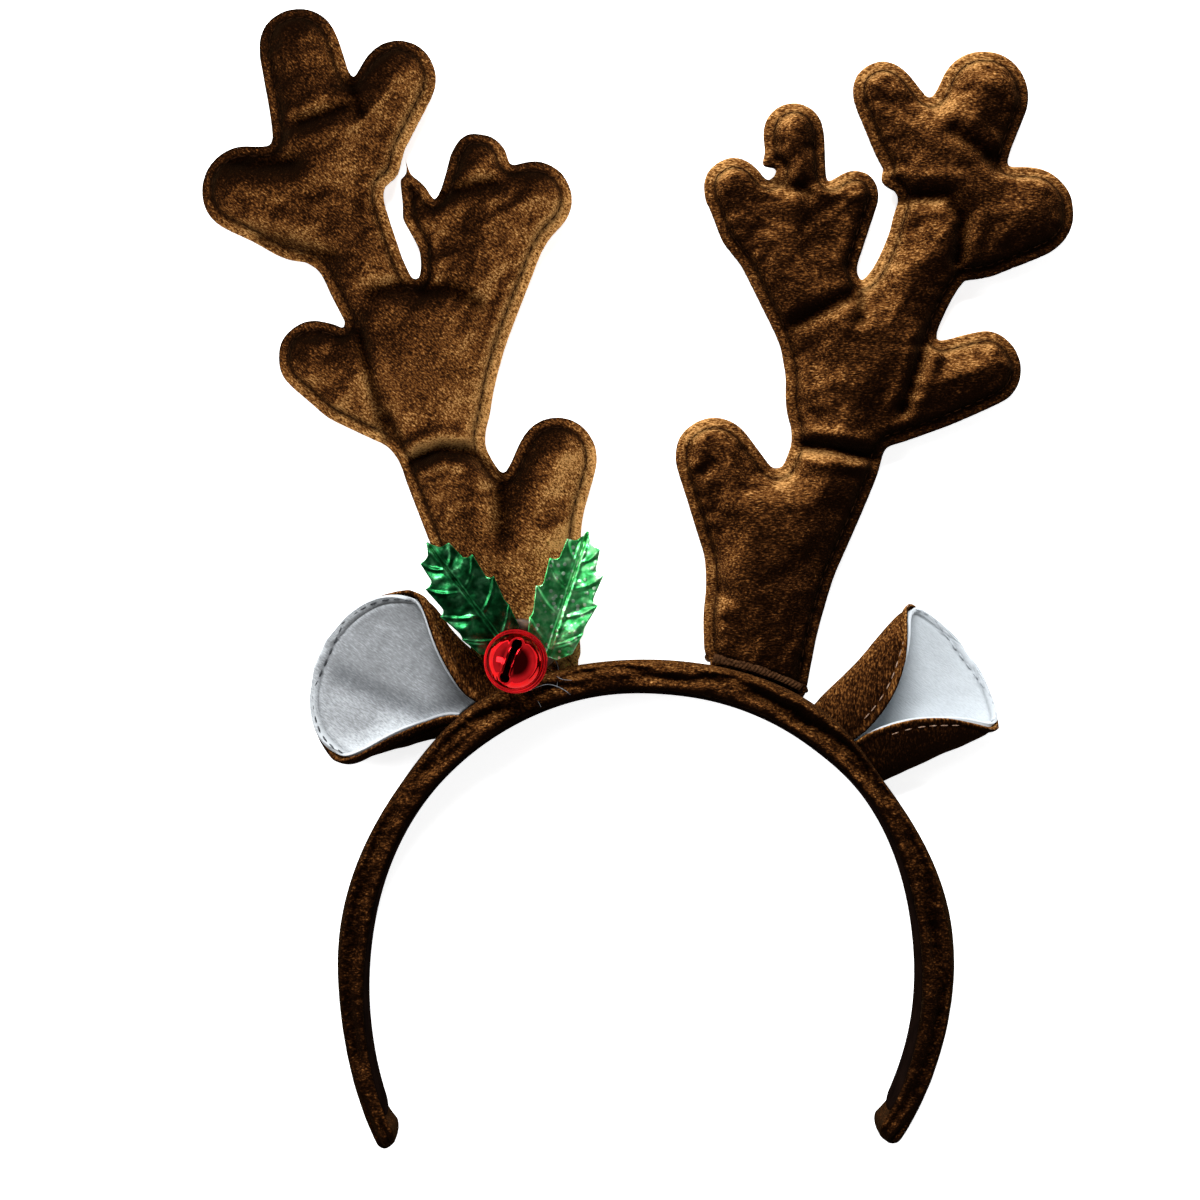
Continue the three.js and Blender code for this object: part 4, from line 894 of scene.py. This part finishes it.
def laid_string(form, pixels, radius, trees, lift):
    """A thin round string that follows pixels of the photograph, on whatever lies there."""
    line = [at_pixel(*p) for p in pixels]
    spots = []
    for k in range(len(line) - 1):
        before, start = line[max(k - 1, 0)], line[k]
        end, after = line[k + 1], line[min(k + 2, len(line) - 1)]
        for i in range(8 + (k == len(line) - 2)):
            t = i / 8
            spots.append(0.5 * (2 * start + (end - before) * t + (2 * before - 5 * start + 4 * end - after)
                                * t ** 2 + (3 * start - before - 3 * end + after) * t ** 3))
    heights = [top_of(trees, p.x, p.y)[0].z for p in spots]
    for k, spot in enumerate(spots):
        spot.z = sum(heights[max(k - 2, 0):k + 3]) / len(heights[max(k - 2, 0):k + 3]) + lift
    ring = None
    for k, spot in enumerate(spots):
        ahead = (spots[min(k + 1, len(spots) - 1)] - spots[max(k - 1, 0)]).normalized()
        turn = ahead.to_track_quat("Z", "Y").to_matrix().to_4x4()
        thin = radius * (0.35 + 0.65 * math.sin(math.pi * min(max(k / (len(spots) - 1), 0.03), 0.97)))
        made = bmesh.ops.create_circle(form, cap_ends=k in (0, len(spots) - 1), segments=7, radius=thin,
                                       matrix=Matrix.Translation(spot) @ turn)
        rim = [e for e in {e for v in made["verts"] for e in v.link_edges}]
        if ring:
            bmesh.ops.bridge_loops(form, edges=ring + rim)
        ring = rim


strings = bmesh.new()
under = [antler_trees["antler_left"], cover_tree]
for pixels, radius in (
        ([(552, 655), (558, 668), (557, 688)], 0.13),
        ([(530, 690), (548, 684), (565, 690), (577, 701)], 0.16),
        ([(538, 700), (541, 706), (543, 714)], 0.12), ([(548, 668), (560, 678), (572, 680)], 0.10),
        ([(520, 622), (532, 640), (548, 648), (566, 646)], 0.12)):
    laid_string(strings, pixels, 0.7 * radius * MM, under, 0.2 * MM)
bmesh.ops.recalc_face_normals(strings, faces=strings.faces[:])
# The same glue drawn out to threads, which scatter light and look white
string_melt = mottled("hot_melt_strings", 900.0, 2.0, ((0.3, "#3f3c3c"), (0.7, "#85898f")), Roughness=0.25)
finish_piece(start_piece("glue_strings", strings), "hot_glue", string_melt)


# Holly leaves. Two leaves stamped from metallised plastic foil, embossed with a midrib and side veins
# and folded along the midrib: the left one dark mirror green, the right one bright with dots that
# were pressed in to scatter the light. Both are stuck to the glue by their feet.
FOIL = 0.22 * MM
LEAF_Z = 16.0 * MM
BELL_MIDDLE = Vector((-28.64, -19.96, 24.1)) * MM
LEAF_FOLD = 0.22
# Place along the leaf, half widths to the left and right, lean of the spines, and rise
LEAF_ROWS = [(0.00, 0.16, 0.16, 0.00, 0.00), (0.08, 0.38, 0.36, 0.00, 0.01), (0.17, 0.46, 0.43, 0.08, 0.03),
             (0.30, 0.43, 0.42, 0.00, 0.05), (0.40, 0.51, 0.51, 0.09, 0.06), (0.53, 0.41, 0.41, 0.00, 0.07),
             (0.62, 0.44, 0.45, 0.10, 0.08), (0.76, 0.29, 0.30, 0.00, 0.08), (0.83, 0.27, 0.27, 0.07, 0.08),
             (0.93, 0.09, 0.09, 0.00, 0.07), (1.00, 0.012, 0.012, 0.00, 0.06)]
SPINES = (0.17, 0.40, 0.62, 0.83)
LEAVES = {
    "holly_leaf_left": {"foot": (-2.4, 3.0), "length": 31, "width": 15.5, "heading": 127, "seed": 3,
                        "slot": "green_foil_dark", "colours": ("#103d22", "#226b40", "#69b184"), "dots": 0.0},
    "holly_leaf_right": {"foot": (7.2, 0.9), "length": 31, "width": 15, "heading": 72, "seed": 11,
                         "slot": "green_foil_bright", "colours": ("#2f9a50", "#5fcb80", "#b8f0bc"),
                         "dots": 1.0},
}


def leaf_edge(along, column):
    """Half width or lean of a leaf: hollow curves between spines, which end in sharp points."""
    i = 0
    while i < len(LEAF_ROWS) - 2 and along > LEAF_ROWS[i + 1][0]:
        i += 1
    a, b = LEAF_ROWS[i], LEAF_ROWS[i + 1]
    t = min(max((along - a[0]) / (b[0] - a[0]), 0), 1)
    if i > 0:
        t = t ** 1.25 if b[3] > a[3] else 1 - (1 - t) ** 1.5
    return a[column] + (b[column] - a[column]) * t


def leaf_place(leaf, along, side):
    angle = math.radians(leaf["heading"])
    ahead = Vector((math.cos(angle), math.sin(angle), 0))
    aside = Vector((-math.sin(angle), math.cos(angle), 0))
    out = abs(side)
    half = leaf_edge(along, 1 if side > 0 else 2) * leaf["width"] * MM
    lean = leaf_edge(along, 3)
    point = Vector((BELL_MIDDLE.x, BELL_MIDDLE.y, LEAF_Z)) + Vector(leaf["foot"]).to_3d() * MM
    point += ahead * (along + lean * out ** 2) * leaf["length"] * MM + aside * side * half
    rise = read_table([(r[0], r[4]) for r in LEAF_ROWS], along) * leaf["length"] * MM
    rise += LEAF_FOLD * half * out
    veins = 0.0
    for spine in SPINES:
        veins = max(veins, math.exp(-((along - spine + 0.085 * (1 - out)) / 0.013) ** 2))
    phase = (along + 0.085 * (1 - out)) * 4.4 * math.pi
    rise += 0.28 * MM * veins * min(1, out * 3) * min(1, half / (2 * MM))
    rise -= 0.35 * MM * math.cos(phase) * out * (1 - out) * 2
    ridge = side * half / (0.42 * MM)
    rise += 0.22 * MM * (math.exp(-(abs(ridge) - 1.6) ** 2) - 1.3 * math.exp(-ridge ** 2))
    seed = Vector((leaf["seed"], 0, 0))
    rise += 0.34 * MM * noise.noise(point * 260 + seed) + 0.14 * MM * noise.noise(point * 620 + seed)
    point.z += rise + 0.25 * MM
    return point


for name, leaf in LEAVES.items():
    form = bmesh.new()
    bmesh.ops.create_grid(form, x_segments=132, y_segments=44, size=1)
    for vert in form.verts:
        vert.co = leaf_place(leaf, (vert.co.x + 1) / 2, vert.co.y)
    piece = start_piece(name + "_foil", form)
    thick = piece.modifiers.new("foil", "SOLIDIFY")
    thick.thickness = FOIL
    thick.offset = 0
    apply_modifiers(piece)
    foil, tree, shader = new_material(name + "_metallised_foil")
    place = add_node(tree, "ShaderNodeTexCoord").outputs["Object"]
    crush = add_node(tree, "ShaderNodeTexNoise", Vector=place, Scale=420.0, Detail=3.0)
    ramp = add_node(tree, "ShaderNodeValToRGB", Fac=crush.outputs["Fac"])
    set_ramp(ramp, [(0.32, leaf["colours"][0]), (0.5, leaf["colours"][1]), (0.72, leaf["colours"][2])])
    dots = add_node(tree, "ShaderNodeTexVoronoi", Vector=place, Scale=1000 / 1.5, Randomness=0.8)
    dot = add_node(tree, "ShaderNodeValToRGB", Fac=dots.outputs["Distance"])
    set_ramp(dot, [(0.20, "#ffffff"), (0.36, "#000000")])
    lit = add_node(tree, "ShaderNodeMix", {"data_type": "RGBA", "blend_type": "SCREEN"},
                   _0=0.7 * leaf["dots"], _6=ramp.outputs["Color"], _7=dot.outputs["Color"])
    tint = add_node(tree, "ShaderNodeMix", {"data_type": "RGBA", "blend_type": "MULTIPLY"},
                    _0=0.35, _6=lit.outputs[2], _7=hex_colour("#a4f5a4"))
    both = add_up(tree, crush.outputs["Fac"], (dot.outputs["Color"], 0.25 * leaf["dots"]))
    finish_shader(tree, shader, tint.outputs[2], (both, 0.5, 0.25 * MM), Metallic=1.0,
                  Roughness=0.28 + 0.04 * leaf["dots"])
    finish_piece(piece, leaf["slot"], foil, name)


# Bell. A jingle bell pressed from thin steel in two domes that are crimped together at the rim, with
# a dumbbell slot in the front one, and lacquered a clear red over bright metal. It is glued on with
# its front turned a little to the left. A steel ball lies loose inside.
BELL_TILT = (math.radians(-2), math.radians(-9), 0)
BELL_WALL = 0.4 * MM
SLOT_HEADING = math.radians(70)
SLOT_LENGTH = 8.2 * MM
SLOT_HALF = 0.75 * MM
HOLE_RADIUS = 1.2 * MM
CUTTER_DEPTH = 20 * MM
RIM = [(6.75, 0.15), (7.40, 0.15), (7.50, 0.30), (7.42, 0.50), (7.12, 0.58), (6.98, 0.74), (7.00, 1.00),
       (6.88, 1.20), (6.62, 1.26), (6.46, 1.42), (6.50, 1.70)]
DOME_RADIUS, DOME_FOOT, DOME_HEIGHT = 6.5, 1.7, 5.4

# Transparent lacquer over metal: a deep red mirror, slightly uneven where it pooled
lacquer = mottled("red_lacquered_steel", 260.0, 2.0, ((0.3, "#980409"), (0.7, "#b80c14")), (0.08, 0.3 * MM),
                  Metallic=1.0, Roughness=0.09, Coat_Weight=0.12, Coat_IOR=1.5,
                  Specular_Tint=hex_colour("#e8606a"))

slot_along = Vector((math.cos(SLOT_HEADING), math.sin(SLOT_HEADING), 0))
slot_ends = [slot_along * SLOT_LENGTH / 2 * s for s in (-1, 1)]
tilt = Matrix.Translation(BELL_MIDDLE) @ Matrix.Rotation(BELL_TILT[1], 4, "Y") \
    @ Matrix.Rotation(BELL_TILT[0], 4, "X")
for name, node, turned in (("bell_front_dome", "bell_front", False), ("bell_back_dome", "bell_back", True)):
    profile = [Vector((r, 0, z)) * MM for r, z in RIM]
    for k in range(1, 31):
        angle = math.pi / 2 * k / 30
        height = DOME_FOOT + DOME_HEIGHT * math.sin(angle)
        profile.append(Vector((DOME_RADIUS * math.cos(angle), 0, height)) * MM)
    form = bmesh.new()
    verts = [form.verts.new(p) for p in profile]
    edges = [form.edges.new(pair) for pair in zip(verts, verts[1:])]
    bmesh.ops.spin(form, geom=verts + edges, cent=(0, 0, 0), axis=(0, 0, 1), dvec=(0, 0, 0),
                   angle=2 * math.pi, steps=96, use_merge=True)
    bmesh.ops.remove_doubles(form, verts=form.verts[:], dist=0.002 * MM)
    bmesh.ops.recalc_face_normals(form, faces=form.faces[:])
    if sum(f.normal.dot(f.calc_center_median()) for f in form.faces) < 0:
        bmesh.ops.reverse_faces(form, faces=form.faces[:])
    if not turned:
        for vert in form.verts:
            flat = vert.co.xy.to_3d()
            t = min(max(flat.dot(slot_along), -SLOT_LENGTH / 2), SLOT_LENGTH / 2)
            away = min((flat - slot_along * t).length - SLOT_HALF,
                       *((flat - end).length - HOLE_RADIUS for end in slot_ends))
            if vert.co.z > 2 * MM:
                vert.co *= 1 + 0.035 * math.exp(-((away - 0.25 * MM) / (0.38 * MM)) ** 2)
    piece = start_piece(name, form)
    thick = piece.modifiers.new("wall", "SOLIDIFY")
    thick.thickness = BELL_WALL
    thick.offset = -1
    cutters = []
    if not turned:
        for k in range(3):
            tool = bmesh.new()
            if k == 2:
                size = Matrix.Diagonal((SLOT_LENGTH, 2 * SLOT_HALF, CUTTER_DEPTH, 1))
                bmesh.ops.create_cube(tool, size=1, matrix=Matrix.Rotation(SLOT_HEADING, 4, "Z") @ size)
            else:
                bmesh.ops.create_cone(tool, cap_ends=True, segments=40, radius1=HOLE_RADIUS,
                                      radius2=HOLE_RADIUS, depth=CUTTER_DEPTH,
                                      matrix=Matrix.Translation(slot_ends[k]))
            bmesh.ops.translate(tool, verts=tool.verts[:], vec=(0, 0, 12 * MM))
            cutter = start_piece("cutter", tool)
            cutters.append(cutter)
            cut = piece.modifiers.new("slot", "BOOLEAN")
            cut.operation = "DIFFERENCE"
            cut.object = cutter
            cut.solver = "EXACT"
    apply_modifiers(piece)
    for cutter in cutters:
        bpy.data.objects.remove(cutter)
    turn = Matrix.Rotation(math.pi, 4, "X") if turned else Matrix.Identity(4)
    piece.data.transform(tilt @ turn)
    finish_piece(piece, "red_bell_metal", lacquer, node)

steel = mottled("tumbled_steel", 900.0, 3.0, ((0.3, "#6d6a68"), (0.7, "#9b9896")), Metallic=1.0,
                Roughness=0.35)
pellet_form = bmesh.new()
pellet_form.from_mesh(nodes["bell_pellet"].data)
bmesh.ops.remove_doubles(pellet_form, verts=pellet_form.verts[:], dist=1e-6)
pellet = start_piece("bell_ball", pellet_form)
subdivide(pellet, 2)
finish_piece(pellet, "steel", steel, "bell_pellet")
